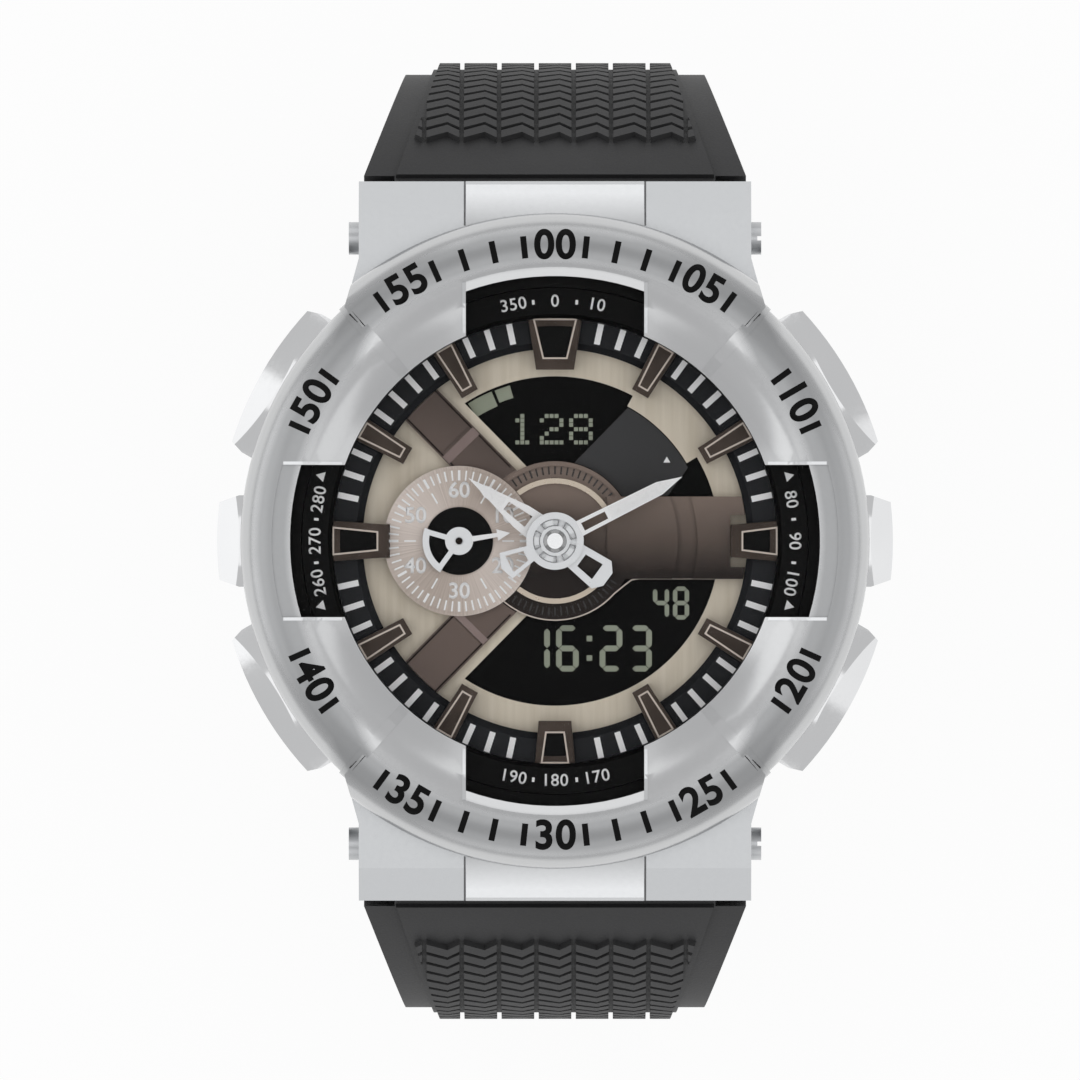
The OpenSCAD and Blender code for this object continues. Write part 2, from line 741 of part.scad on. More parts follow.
module dial_bridge() lifted() color(brown) difference() {
    intersection() {
        union() {
            tube(centre_r, 0, face_z, bridge_z - 0.1);
            translate([-subdial_x, 0, face_z]) cylinder(r = subdial_r - 0.3, h = bridge_h - 0.2);
            arm(180 - arm_angle, 10.9);
            arm(180 + arm_angle, 9.6);
            translate([arm_start, -arm_low, face_z])
                cube([arm_end - arm_start, arm_top + arm_low, bridge_h + 0.3]);
        }
        tube(chapter_r - 0.05, 0, face_z, face_z + 5);
    }
    rotate([0, 0, -22]) translate([0, 0, bridge_z - 0.05]) rotate_extrude(angle = 44)
        translate([9.4, 0]) square([1.5, 2]);
    tube(hand_hole_r, 0, face_z - 1, face_z + 5);
    translate([-subdial_x, 0, face_z - 1]) cylinder(r = arbor_hole_r, h = 5);
    difference() {
        tube(centre_r - 0.35, ring_r + run_gap, bridge_z - 0.3, bridge_z + 5);
        translate([arm_start - run_gap, -arm_low - run_gap, face_z])
            cube([5, arm_top + arm_low + 2 * run_gap, 9]);
    }
    translate([-subdial_x, 0, bridge_z - 0.2]) cylinder(r = subdial_r + run_gap, h = 5);
    for (s = [-1, 1]) scale([s, 1, 1])
        translate([index_in(s > 0 ? 3 : 9) - run_gap, -2, face_z - 1]) cube([5, 4, 5]);
}

module centre_ring() lifted() color(brass) difference() {
    union() {
        tube(ring_r, ring_r - ring_w, bridge_z - 0.1, bridge_z + 0.12);
        for (i = [0 : 71]) rotate([0, 0, i * 5]) translate([ring_r + 0.3, -0.06, bridge_z - 0.3])
            cube([0.6, 0.12, 0.08]);
    }
    translate([-subdial_x, 0, bridge_z - 1]) cylinder(r = subdial_r + run_gap, h = 5);
    translate([arm_start - run_gap, -arm_low - run_gap, face_z])
        cube([5, arm_top + arm_low + 2 * run_gap, 5]);
}

module subdial_disc() lifted() color([0.80, 0.73, 0.68]) difference() {
    translate([-subdial_x, 0, 0]) tube(subdial_r, arbor_hole_r, subdial_z - 0.2, subdial_z + subdial_t);
    translate([-subdial_x, 0, 0])
        tube(subdial_r - 0.25, subdial_hub_r + run_gap, subdial_z + subdial_t - 0.06, subdial_z + 1);
    translate([0, 0, face_z]) linear_extrude(height = 5) index_plan(9, -run_gap);
}

module subdial_centre() lifted() color(black) translate([-subdial_x, 0, 0])
    tube(subdial_hub_r, arbor_hole_r, subdial_z + subdial_t, subdial_z + subdial_t + 0.08);

// Movement

module zebra_strips() lifted() color([0.75, 0.70, 0.72]) both_ends()
    translate([0, zebra_y, 0]) block(zebra_l, 1, train_z, cell_z);

module module_frame() lifted() color([0.85, 0.85, 0.82]) difference() {
    union() {
        tube(module_r, module_r - frame_wall, battery_z, dial_z);
        tube(module_r, battery_r + run_gap, battery_z, board_z - run_gap);
    }
    tube(battery_r + run_gap, 0, battery_z - 1, board_z);
    tube(module_r - frame_step, 0, board_z - run_gap, train_z);
    translate([spring_x, spring_y, 0]) cylinder(r = contact_hole_r, h = board_z);
}

module gear_plate() lifted() color(brass) {
    difference() {
        union() {
            block(gear_plate_l, gear_plate_w, plate_z, plate_z + plate_t);
            for (x = [-gear_post_x, 8.2]) translate([x, 0, train_z])
                cylinder(r = 0.9, h = plate_z - train_z + 0.1);
            translate([-gear_post_x, -0.9, plate_z]) cube([4, 1.8, plate_t]);
            tube(post_r, 0, plate_z + 0.3, train_z + 4.2);
            translate([train_x, 0, plate_z + 0.3]) cylinder(r = stud_r, h = 1.5);
        }
        translate([-subdial_x, 0, train_z]) cylinder(r = arbor_r + run_gap, h = 5);
    }
}

module circuit_board() lifted() color([0.10, 0.35, 0.20])
    tube(module_r - frame_step - run_gap, 0, board_z, train_z);

module battery() lifted() color(steel) rotate_extrude()
    polygon([[0, battery_z], [battery_r - 0.8, battery_z], [battery_r - 0.8, battery_z + 0.2],
        [battery_r, battery_z + 0.4], [battery_r, battery_z + battery_h], [0, battery_z + battery_h]]);

module battery_clip() lifted() color(steel)
    block(2 * (module_r - frame_wall), 3, battery_z - clip_plate_t, battery_z);

module motor_coils() lifted() color([0.70, 0.38, 0.18]) for (a = [120, 240])
    rotate([0, 0, a]) translate([8.2, 0, train_z + 1.2]) rotate([90, 0, 0])
        cylinder(r = 1.15, h = 7, center = true);

module piezo_disc() lifted() color(brass) {
    tube(piezo_r, 0, back_t, back_t + piezo_t);
    hull() for (p = [[5, 0], [spring_x, spring_y]]) translate([p[0], p[1], back_t])
        cylinder(r = contact_hole_r - 0.1, h = piezo_t);
}

module piezo_spring() lifted() color(steel) translate([spring_x, spring_y, 0])
    coil_spring(contact_r, contact_wire, back_t + piezo_t + seat_gap, board_z - seat_gap, 5);

module module_pad() lifted() color([0.3, 0.3, 0.3]) difference() {
    tube(module_r - 0.4, piezo_r + 0.6, pad_z, pad_z + pad_t);
    hull() for (p = [[5, 0], [spring_x, spring_y]]) translate([p[0], p[1], 0])
        cylinder(r = contact_hole_r, h = 5);
}

module cannon_pinion() lifted() color(brass) difference() {
    union() {
        translate([0, 0, pinion_z]) linear_extrude(height = 0.5)
            gear_outline(pinion_teeth, m_fast);
        tube(cannon_r, 0, pinion_z, minute_z + hand_t);
    }
    tube(post_r + bore_gap, 0, train_z, train_z + 4.3);
}

module hour_wheel() lifted() color(brass) difference() {
    union() {
        translate([0, 0, hour_wheel_z]) rotate([0, 0, 180 / hour_teeth])
            linear_extrude(height = 0.4) gear_outline(hour_teeth, m_slow);
        tube(hour_pipe_r, 0, hour_wheel_z, hour_z + hand_t);
    }
    tube(cannon_r + run_gap, 0, train_z, minute_z);
}

module minute_wheel() lifted() color(brass) translate([train_x, 0, 0]) difference() {
    union() {
        translate([0, 0, pinion_z]) rotate([0, 0, 180 - 180 / wheel_teeth])
            linear_extrude(height = 0.4) gear_outline(wheel_teeth, m_fast);
        translate([0, 0, pinion_z + 0.3]) rotate([0, 0, 180])
            linear_extrude(height = 0.9) gear_outline(small_teeth, m_slow);
    }
    tube(stud_r + bore_gap, 0, train_z, train_z + 9);
}

// Hands, each drawn along +X and turned to its place

module pointer(l, w, root, tail, tail_w) {
    polygon([[root, -w * 0.5], [l * 0.82, -w * 0.42], [l, 0], [l * 0.82, w * 0.42], [root, w * 0.5]]);
    polygon([[-root, -w * 0.4], [-tail + 0.4, -tail_w / 2], [-tail, 0], [-tail + 0.4, tail_w / 2],
        [-root, w * 0.4]]);
}

module minute_hand() lifted() color("white") translate([0, 0, minute_z])
    rotate([0, 0, 90 - minute_at]) difference() {
        union() {
            cylinder(r = hub_r, h = hand_t);
            linear_extrude(height = hand_t) pointer(minute_l, 1.25, 1.5, 4.6, 2.2);
        }
        translate([0, 0, -1]) linear_extrude(height = 5) {
            polygon([[2.4, -0.32], [4.4, -0.3], [4.4, 0.3], [2.4, 0.32]]);
            polygon([[-2.5, -0.4], [-3.9, -0.7], [-3.9, 0.7], [-2.5, 0.4]]);
        }
        tube(cannon_r + seat_gap, 0, -1, 5);
        for (i = [0 : hub_slots - 1]) rotate([0, 0, i * 360 / hub_slots - 50]) translate([0, 0, -1])
            rotate_extrude(angle = 46) translate([hub_slot_r, 0]) square([0.45, 3]);
    }

module hour_hand() lifted() color("white") translate([0, 0, hour_z])
    rotate([0, 0, 90 - hour_at]) difference() {
        union() {
            cylinder(r = hub_r, h = hand_t);
            linear_extrude(height = hand_t) {
                polygon([[1.6, -1.1], [3.2, -1.0], [hour_l, 0], [3.2, 1.0], [1.6, 1.1]]);
                polygon([[-1.6, -1.0], [-4.4, -1.3], [-5, -0.6], [-5, 0.6], [-4.4, 1.3], [-1.6, 1.0]]);
            }
        }
        tube(hour_pipe_r + seat_gap, 0, -1, 5);
        translate([0, 0, -1]) linear_extrude(height = 5) {
            polygon([[2.5, -0.5], [4.6, -0.35], [4.6, 0.35], [2.5, 0.5]]);
            polygon([[-2.5, -0.55], [-4.0, -0.7], [-4.0, 0.7], [-2.5, 0.55]]);
        }
    }

module hand_cap() lifted() color(silver) rotate_extrude()
    polygon([[0, minute_z + hand_t + seat_gap], [0.85, minute_z + hand_t + seat_gap],
        [0.85, minute_z + hand_t + 0.2], [0.6, minute_z + hand_t + 0.35],
        [0, minute_z + hand_t + 0.35]]);

module seconds_hand() lifted() color(silver) translate([-subdial_x, 0, second_z])
    rotate([0, 0, 9]) {
        difference() {
            union() {
                cylinder(r = 1.07, h = hand_t);
                linear_extrude(height = hand_t) polygon([[0.6, -0.22], [second_l - 1, -0.16],
                    [second_l - 1, -0.45], [second_l, 0], [second_l - 1, 0.45],
                    [second_l - 1, 0.16], [0.6, 0.22]]);
                rotate([0, 0, 150]) rotate_extrude(angle = 80) translate([2.3, 0])
                    square([0.5, hand_t]);
                for (a = [155, 225]) rotate([0, 0, a]) translate([0.8, -0.2, 0])
                    cube([1.8, 0.4, hand_t]);
            }
            tube(arbor_r + seat_gap, 0, -1, 5);
        }
    }

module seconds_arbor() lifted() color(steel) translate([-subdial_x, 0, 0]) {
    tube(arbor_r, 0, train_z + 1.4, second_z + hand_t + 0.1);
    translate([0, 0, train_z + 2.6]) cylinder(r = 1.4, h = 0.4);
}

// Pushers

module pusher_cap(angle, base_w, face_w) {
    low = pusher_z - cap_h / 2;
    rotate([0, 0, angle]) intersection() {
        rotate_extrude() polygon([[cap_in, low], [pusher_r - cap_slope, low],
            [pusher_r, low + cap_fall], [pusher_r, low + cap_h - cap_fall],
            [pusher_r - cap_slope, low + cap_h], [cap_in, low + cap_h]]);
        cap_bar(base_w, 0);
        translate([0, 0, low - 1]) linear_extrude(height = cap_h + 2) polygon([
            [cap_in - 3, -base_w / 2], [pusher_r - cap_slope, -base_w / 2],
            [pusher_r + 0.5, -face_w / 2], [pusher_r + 0.5, face_w / 2],
            [pusher_r - cap_slope, base_w / 2], [cap_in - 3, base_w / 2]]);
    }
}

module pusher(angle, base_w, face_w) {
    lifted() color([0.86, 0.87, 0.88]) {
        pusher_cap(angle, base_w, face_w);
        rotate([0, 0, angle]) translate([0, 0, pusher_z]) rotate([0, 90, 0])
            translate([0, 0, stem_in]) cylinder(r = stem_r, h = cap_in + 0.5 - stem_in);
    }
}

module pusher_2() pusher(corner_angle, corner_w, corner_w - 1.4);
module pusher_4() pusher(-corner_angle, corner_w, corner_w - 1.4);
module pusher_8() pusher(180 + corner_angle, corner_w, corner_w - 1.4);
module pusher_10() pusher(180 - corner_angle, corner_w, corner_w - 1.4);
module pusher_3() pusher(0, side_w, side_w - 1.5);
module pusher_9() pusher(180, side_w, side_w - 1.5);

module pusher_clip(angle) {
    lifted() color(steel) rotate([0, 0, angle]) translate([0, 0, pusher_z]) rotate([0, 90, 0])
        tube(clip_r, stem_r + seat_gap, cavity_r - body_gap / 2 - clip_t, cavity_r - body_gap / 2);
}

module pusher_clip_2() pusher_clip(corner_angle);
module pusher_clip_3() pusher_clip(0);
module pusher_clip_4() pusher_clip(-corner_angle);
module pusher_clip_8() pusher_clip(180 + corner_angle);
module pusher_clip_9() pusher_clip(180);
module pusher_clip_10() pusher_clip(180 - corner_angle);

pusher_angles = concat(corner_angles, [0, 180]);

module pusher_seals() lifted() color(black) for (a = pusher_angles) rotate([0, 0, a])
    translate([0, 0, pusher_z]) rotate([0, 90, 0])
        tube(stem_r + seal_t, stem_r + run_gap, seal_in + run_gap, seal_in + seal_l - run_gap);

module pusher_springs() lifted() color(steel) for (a = pusher_angles) rotate([0, 0, a])
    translate([0, 0, pusher_z]) rotate([0, 90, 0])
        coil_spring(spring_r, spring_wire, spring_floor + seat_gap, cap_in - 2 * run_gap, 4);

// Strap

module strap_pins() lifted() color(steel) both_ends() translate([0, pin_y, pin_z])
    rotate([0, 90, 0]) difference() {
        union() {
            cylinder(r = pin_r, h = lug_w, center = true);
            translate([0, 0, -lug_w / 2 - pin_head_t]) cylinder(r = pin_head_r, h = pin_head_t - seat_gap);
            translate([0, 0, -lug_w / 2 - 0.4]) cylinder(r = pin_r, h = 1);
        }
        translate([0, 0, lug_w / 2 - pin_screw_l - 0.5]) cylinder(r = pin_screw_r + run_gap, h = 10);
    }

module strap_pin_screws() lifted() color(steel) both_ends() translate([0, pin_y, pin_z])
    rotate([0, 90, 0]) difference() {
        union() {
            translate([0, 0, lug_w / 2 + seat_gap]) cylinder(r = pin_head_r, h = pin_head_t - seat_gap);
            translate([0, 0, lug_w / 2 - pin_screw_l]) cylinder(r = pin_screw_r, h = pin_screw_l + 0.5);
        }
        translate([0, 0, lug_w / 2 + 0.5]) block(3, 0.35, 0, 2);
    }

// Part of a flat ring between two angles, seen from the side
module bend_part(cy, cz, outer, inner, from, to) {
    intersection() {
        translate([cy, cz]) difference() {
            circle(r = outer);
            circle(r = inner);
        }
        translate([cy, cz]) polygon([[0, 0], [2 * far * cos(from), 2 * far * sin(from)],
            [2.4 * far * cos((from + to) / 2), 2.4 * far * sin((from + to) / 2)],
            [2 * far * cos(to), 2 * far * sin(to)]]);
    }
}

// The outer bend thins from strap_t at the lug to tail_t where it turns down
module outer_bend(from) {
    inner = bend_r - strap_t;
    shift = strap_t - tail_t;
    intersection() {
        difference() {
            translate([bend_y, bend_z]) circle(r = bend_r);
            translate([bend_y + shift, bend_z]) circle(r = inner);
        }
        translate([bend_y, bend_z]) polygon([[0, 0], [2 * far, 0],
            [2 * far, 2 * far * tan(from)]]);
    }
}

// The head that turns on the pin, with a heel that stops against the case
module strap_head() {
    translate([pin_y, pin_z]) circle(r = barrel_r);
    polygon([[pin_y + barrel_r * sin(45), pin_z + barrel_r * sin(45)], [shoulder_y, shoulder_z],
        [bend_y + bend_r * cos(40), bend_z + bend_r * sin(40)],
        [bend_y + (bend_r - strap_t) * cos(40) + 0.5, bend_z + (bend_r - strap_t) * sin(40)],
        [pin_y - 1.2, -0.4], [case_wall_y + 0.25, 0.6], [case_wall_y + 0.25, 3]]);
}

module head_clear() {
    translate([0, pin_y, pin_z]) rotate([0, 90, 0])
        cylinder(r = pin_r + run_gap, h = far, center = true);
    for (s = [-1, 1]) intersection() {
        translate([s * (head_hw + 10), pin_y - 5, 0])
            translate([-10, -15, -20]) cube([20, 30, 60]);
        translate([0, pin_y, pin_z]) rotate([0, 90, 0])
            cylinder(r = shoulder_r, h = far, center = true);
    }
    for (s = [-1, 1]) translate([s * (head_hw + 10) - 10, -20, -20])
        cube([20, pin_y + 20, 60]);
}

// The strap's outline from the front and from above, as half widths at the lugs, bend and tail
module strap_front(top, bend, tail) {
    intersection() {
        rotate([90, 0, 0]) linear_extrude(height = 4 * far, center = true) polygon([
            [-tail, long_low - 1], [tail, long_low - 1], [tail, bend_z - 14], [bend, bend_z],
            [top + 0.8, bend_z + 9], [top + 0.8, shoulder_z + 8], [-top - 0.8, shoulder_z + 8],
            [-top - 0.8, bend_z + 9], [-bend, bend_z], [-tail, bend_z - 14]]);
        translate([0, 0, -far]) linear_extrude(height = 2 * far) polygon([
            [top, -shoulder_y], [top, shoulder_y], [bend, strap_span / 2], [bend, far],
            [-bend, far], [-bend, strap_span / 2], [-top, shoulder_y],
            [-top, -shoulder_y], [-bend, -strap_span / 2], [-bend, -far],
            [bend, -far], [bend, -strap_span / 2]]);
    }
}

// One row of roof-shaped tiles across the strap, drawn flat
module tread_row(hw) {
    columns = floor(2 * hw / tile_w + 0.5);
    peak = 0.62 * tile_w;
    depth = tread_pitch - tread_groove;
    for (i = [0 : columns - 1]) translate([(i - columns / 2) * tile_w, 0]) polygon([
        [tile_gap / 2, 0], [peak, tile_rise], [tile_w - tile_gap / 2, 0],
        [tile_w - tile_gap / 2, -depth], [peak, tile_rise - depth], [tile_gap / 2, -depth]]);
}

// Arc from the start of the tread to the level of the bend's centre
tread_from = 36;
tread_arc = bend_r * tread_from * PI / 180;
tread_rows = floor((tread_arc + short_drop) / tread_pitch);

// Puts a row of tread on the panel, s along the strap from the tread's start
module on_panel(s) {
    turn = s < tread_arc ? tread_from - s / bend_r * 180 / PI : 0;
    drop = s < tread_arc ? 0 : s - tread_arc;
    translate([0, bend_y, bend_z - drop]) rotate([turn, 0, 0])
        translate([0, bend_r + panel_t + tread_t, 0]) rotate([90, 0, 0]) children();
}

module tread() {
    intersection() {
        for (i = [0 : tread_rows - 1]) on_panel(i * tread_pitch)
            mirror([0, 1, 0]) linear_extrude(height = tread_t + 0.25) tread_row(panel_hw);
        strap_front(panel_hw - 0.5, panel_bend_hw - 0.3, panel_bend_hw - 0.3);
    }
}

module strap_panel() {
    intersection() {
        side_extrude(far) {
            bend_part(bend_y, bend_z, bend_r + panel_t, bend_r - 0.5, 0, bend_start + 0.5);
            translate([side_y - 0.5, bend_z - short_drop]) square([panel_t + 0.5, short_drop]);
        }
        strap_front(panel_hw, panel_bend_hw, panel_bend_hw);
    }
}

module strap_start() {
    intersection() {
        side_extrude(far) {
            outer_bend(bend_start);
            strap_head();
        }
        strap_front(strap_hw, bend_hw, tail_hw);
    }
    strap_panel();
    tread();
}

module strap_upper() lifted() color(rubber) difference() {
    union() {
        strap_start();
        intersection() {
            side_extrude(far) {
                translate([side_y - tail_t, bend_z - short_drop]) square([tail_t, short_drop]);
                bend_part(side_y - short_r, bend_z - short_drop, short_r, short_r - tail_t, -90, 0);
                translate([0, short_low]) square([side_y - short_r, tail_t]);
                translate([0, buckle_z]) circle(r = eye_r);
            }
            strap_front(strap_hw, bend_hw, tail_hw);
        }
    }
    head_clear();
    translate([0, 0, buckle_z]) rotate([0, 90, 0])
        cylinder(r = buckle_pin_r + seat_gap, h = far, center = true);
    translate([-prong_w / 2 - body_gap, -3, buckle_z - 3]) cube([prong_w + 2 * body_gap, 6.2, 6]);
}

long_turn_y = long_r - side_y;
tip_z = long_low + tip_r;

module strap_hole() cylinder(r = hole_r, h = 12, center = true);

module strap_lower() lifted() color(rubber) difference() {
    union() {
        mirror([0, 1, 0]) strap_start();
        intersection() {
            side_extrude(far) {
                translate([-side_y, bend_z - long_drop]) square([tail_t, long_drop]);
                bend_part(long_turn_y, long_low + long_r, long_r, long_r - tail_t, 180, 270);
                translate([long_turn_y, long_low]) square([foot_l - long_turn_y, tail_t]);
                bend_part(foot_l, tip_z, tip_r, tip_r - tail_t, -90, tip_turn - 90);
            }
            strap_front(strap_hw, bend_hw, tail_hw);
        }
    }
    mirror([0, 1, 0]) head_clear();
    for (i = [-1 : 3]) translate([0, i * hole_pitch - 6, long_low]) strap_hole();
    for (i = [1 : 2]) translate([0, long_turn_y, long_low + long_r])
        rotate([-i * hole_pitch / (long_r - tail_t / 2) * 180 / PI, 0, 0])
            translate([0, 0, -long_r]) strap_hole();
}

module keeper() lifted() color(rubber) {
    low = short_low - keeper_room - 0.1;
    high = short_low + tail_t + 0.1;
    hw = tail_hw + 0.3;
    translate([0, keeper_y + keeper_l / 2, 0]) difference() {
        block(2 * (hw + keeper_t), keeper_l, low - keeper_t, high + keeper_t);
        block(2 * hw, keeper_l + 2, low, high);
    }
}

frame_in = tail_hw + 0.6;

module buckle_frame() lifted() color(steel) translate([0, 0, buckle_z]) difference() {
    union() {
        for (s = [-1, 1]) {
            translate([s * (frame_in + buckle_side / 2), -buckle_l / 2, -buckle_t / 2])
                translate([-buckle_side / 2, -buckle_l / 2, 0]) cube([buckle_side, buckle_l, buckle_t]);
            translate([s * (frame_in + buckle_side / 2), 0, 0]) rotate([0, 90, 0])
                cylinder(r = 1.6, h = buckle_side, center = true);
        }
        translate([-frame_in - buckle_side, -buckle_l - 1, -buckle_t / 2])
            cube([2 * (frame_in + buckle_side), 2.6, buckle_t]);
    }
    rotate([0, 90, 0]) cylinder(r = buckle_pin_r + seat_gap, h = far, center = true);
}

module buckle_pin() lifted() color(steel) translate([0, 0, buckle_z]) rotate([0, 90, 0])
    cylinder(r = buckle_pin_r, h = 2 * (frame_in + buckle_side) - 0.2, center = true);

module buckle_prong() lifted() color(steel) translate([0, 0, buckle_z]) difference() {
    union() {
        rotate([0, 90, 0]) cylinder(r = 1.5, h = prong_w, center = true);
        side_extrude(prong_w) polygon([[-0.2, -1.45], [-1.2, -0.2], [-4, -0.9],
            [-buckle_l + 2, -buckle_t / 2 - 0.1], [-buckle_l - 1.4, -buckle_t / 2 - 0.1],
            [-buckle_l - 1.4, -buckle_t / 2 - 0.9], [-buckle_l + 2, -buckle_t / 2 - 1.2]]);
    }
    rotate([0, 90, 0]) cylinder(r = buckle_pin_r + run_gap, h = far, center = true);
}

case_middle();
bezel();
crystal();
crystal_gasket();
flange_ring();
chapter_ring();
minute_ticks();
hour_indexes();
index_inlays();
dial_plate();
dial_bridge();
centre_ring();
subdial_disc();
subdial_centre();
lcd_upper();
lcd_lower();
zebra_strips();
module_frame();
gear_plate();
circuit_board();
battery();
battery_clip();
motor_coils();
piezo_disc();
piezo_spring();
module_pad();
case_back();
back_gasket();
back_screws();
cannon_pinion();
minute_hand();
hand_cap();
hour_wheel();
hour_hand();
minute_wheel();
seconds_hand();
seconds_arbor();
pusher_2();
pusher_3();
pusher_4();
pusher_8();
pusher_9();
pusher_10();
pusher_clip_2();
pusher_clip_3();
pusher_clip_4();
pusher_clip_8();
pusher_clip_9();
pusher_clip_10();
pusher_seals();
pusher_springs();
strap_pins();
strap_pin_screws();
strap_upper();
strap_lower();
keeper();
buckle_frame();
buckle_pin();
buckle_prong();
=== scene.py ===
import bpy
import bmesh
import json
import math
from mathutils import Matrix, Vector

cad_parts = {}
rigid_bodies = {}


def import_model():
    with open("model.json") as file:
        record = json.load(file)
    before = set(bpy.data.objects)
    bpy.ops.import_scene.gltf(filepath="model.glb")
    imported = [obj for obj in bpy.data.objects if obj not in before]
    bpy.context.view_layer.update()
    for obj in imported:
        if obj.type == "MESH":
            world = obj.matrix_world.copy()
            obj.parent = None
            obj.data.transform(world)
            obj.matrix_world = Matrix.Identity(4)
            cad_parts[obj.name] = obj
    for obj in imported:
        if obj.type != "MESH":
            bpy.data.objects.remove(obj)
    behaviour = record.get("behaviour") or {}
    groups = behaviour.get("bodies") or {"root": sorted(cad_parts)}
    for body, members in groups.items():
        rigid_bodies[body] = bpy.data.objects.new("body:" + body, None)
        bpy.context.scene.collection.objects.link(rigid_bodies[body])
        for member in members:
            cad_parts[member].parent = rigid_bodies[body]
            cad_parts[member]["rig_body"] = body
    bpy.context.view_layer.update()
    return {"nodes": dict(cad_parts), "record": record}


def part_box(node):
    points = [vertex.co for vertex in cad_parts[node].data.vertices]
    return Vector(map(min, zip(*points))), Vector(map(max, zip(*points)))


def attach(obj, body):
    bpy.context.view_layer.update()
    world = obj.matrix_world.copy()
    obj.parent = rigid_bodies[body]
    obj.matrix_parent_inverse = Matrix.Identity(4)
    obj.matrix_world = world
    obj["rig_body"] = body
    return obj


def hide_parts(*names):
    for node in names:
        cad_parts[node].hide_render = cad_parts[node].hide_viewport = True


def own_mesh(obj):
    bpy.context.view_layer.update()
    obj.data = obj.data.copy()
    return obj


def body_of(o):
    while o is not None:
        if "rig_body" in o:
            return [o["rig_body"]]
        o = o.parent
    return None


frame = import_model()
nodes = frame["nodes"]
mm = 0.001
print("frame loaded")


# Shader sums: a socket that can be added, multiplied and compared
class Sum:
    def __init__(self, look, socket):
        self.look = look
        self.socket = socket

    def math(self, operation, *others):
        return self.look.node("ShaderNodeMath", {"operation": operation}, self, *others)

    def __add__(self, other): return self.math("ADD", other)
    def __radd__(self, other): return self.math("ADD", other)
    def __sub__(self, other): return self.math("SUBTRACT", other)
    def __rsub__(self, other): return self.math("MULTIPLY", -1.0) + other
    def __mul__(self, other): return self.math("MULTIPLY", other)
    def __rmul__(self, other): return self.math("MULTIPLY", other)
    def __gt__(self, other): return self.math("GREATER_THAN", other)
    def __lt__(self, other): return self.math("LESS_THAN", other)


class Look:
    def __init__(self, name, color, metallic, roughness, **constants):
        self.material = bpy.data.materials.new(name)
        self.material.use_nodes = True
        self.tree = self.material.node_tree
        self.shader = self.tree.nodes["Principled BSDF"]
        self.shader.inputs["Base Color"].default_value = (*color, 1)
        self.shader.inputs["Metallic"].default_value = metallic
        self.shader.inputs["Roughness"].default_value = roughness
        for socket, value in constants.items():
            self.shader.inputs[socket.replace("_", " ")].default_value = value
        self.place = self.node("ShaderNodeTexCoord", {}, out="Object")

    def node(self, kind, settings, *values, out=0, places=None, **named):
        made = self.tree.nodes.new(kind)
        for key, value in settings.items():
            if key == "stops":
                ramp = made.color_ramp
                for i, (at, shade) in enumerate(value):
                    stop = ramp.elements[i] if i < 2 else ramp.elements.new(at)
                    stop.position = at
                    stop.color = (*shade, 1)
            else:
                setattr(made, key, value)
        pairs = list(enumerate(values)) + [(k.replace("_", " "), v) for k, v in named.items()]
        pairs += list((places or {}).items())
        for key, value in pairs:
            if isinstance(value, Sum):
                self.tree.links.new(value.socket, made.inputs[key])
            elif value is not None:
                made.inputs[key].default_value = value
        return Sum(self, made.outputs[out])

    def feed(self, socket, value):
        self.tree.links.new(value.socket, self.shader.inputs[socket])

    def noise(self, scale, detail=4.0, stretch=(1, 1, 1)):
        spot = self.node("ShaderNodeMapping", {}, Vector=self.place, Scale=stretch)
        return self.node("ShaderNodeTexNoise", {}, Vector=spot, Scale=scale, Detail=detail)

    # The x and y of a spot, or else of the object's own coordinates
    def axes(self, spot=None):
        split = self.node("ShaderNodeSeparateXYZ", {}, spot or self.place).socket.node
        return Sum(self, split.outputs["X"]), Sum(self, split.outputs["Y"])

    # How far x and y are from the middle
    def reach(self, x, y):
        return (x * x + y * y).math("POWER", 0.5)

    # Runs from 0 to 1 as the value goes from low to high
    def share(self, value, low, high):
        return self.node("ShaderNodeMapRange", {}, value, low, high, 0.0, 1.0)

    def mix(self, factor, first, second):
        ends = [(*end, 1) if isinstance(end, tuple) else end for end in (first, second)]
        return self.node("ShaderNodeMix", {"data_type": "RGBA"}, out=2,
                         places={0: factor, 6: ends[0], 7: ends[1]})

    def bump(self, height, strength, distance):
        self.feed("Normal", self.node("ShaderNodeBump", {}, Height=height, Strength=strength,
                                      Distance=distance))

    def tint(self, mask, low, high):
        self.feed("Base Color", self.node("ShaderNodeValToRGB",
                                          {"stops": [(0.25, low), (0.75, high)]}, mask))


# Plain finish: colour drifts between two shades, with a fine surface
def finish(name, low, high, metallic, roughness, grain=3000, bump=0.15, depth=0.00003,
           stretch=(1, 1, 1), drift=90, **constants):
    look = Look(name, high, metallic, roughness, **constants)
    look.tint(look.noise(drift, 3, stretch), low, high)
    fine = look.noise(grain, 5, stretch)
    look.feed("Roughness", fine * 0.12 + (roughness - 0.06))
    look.bump(fine, bump, depth)
    return look


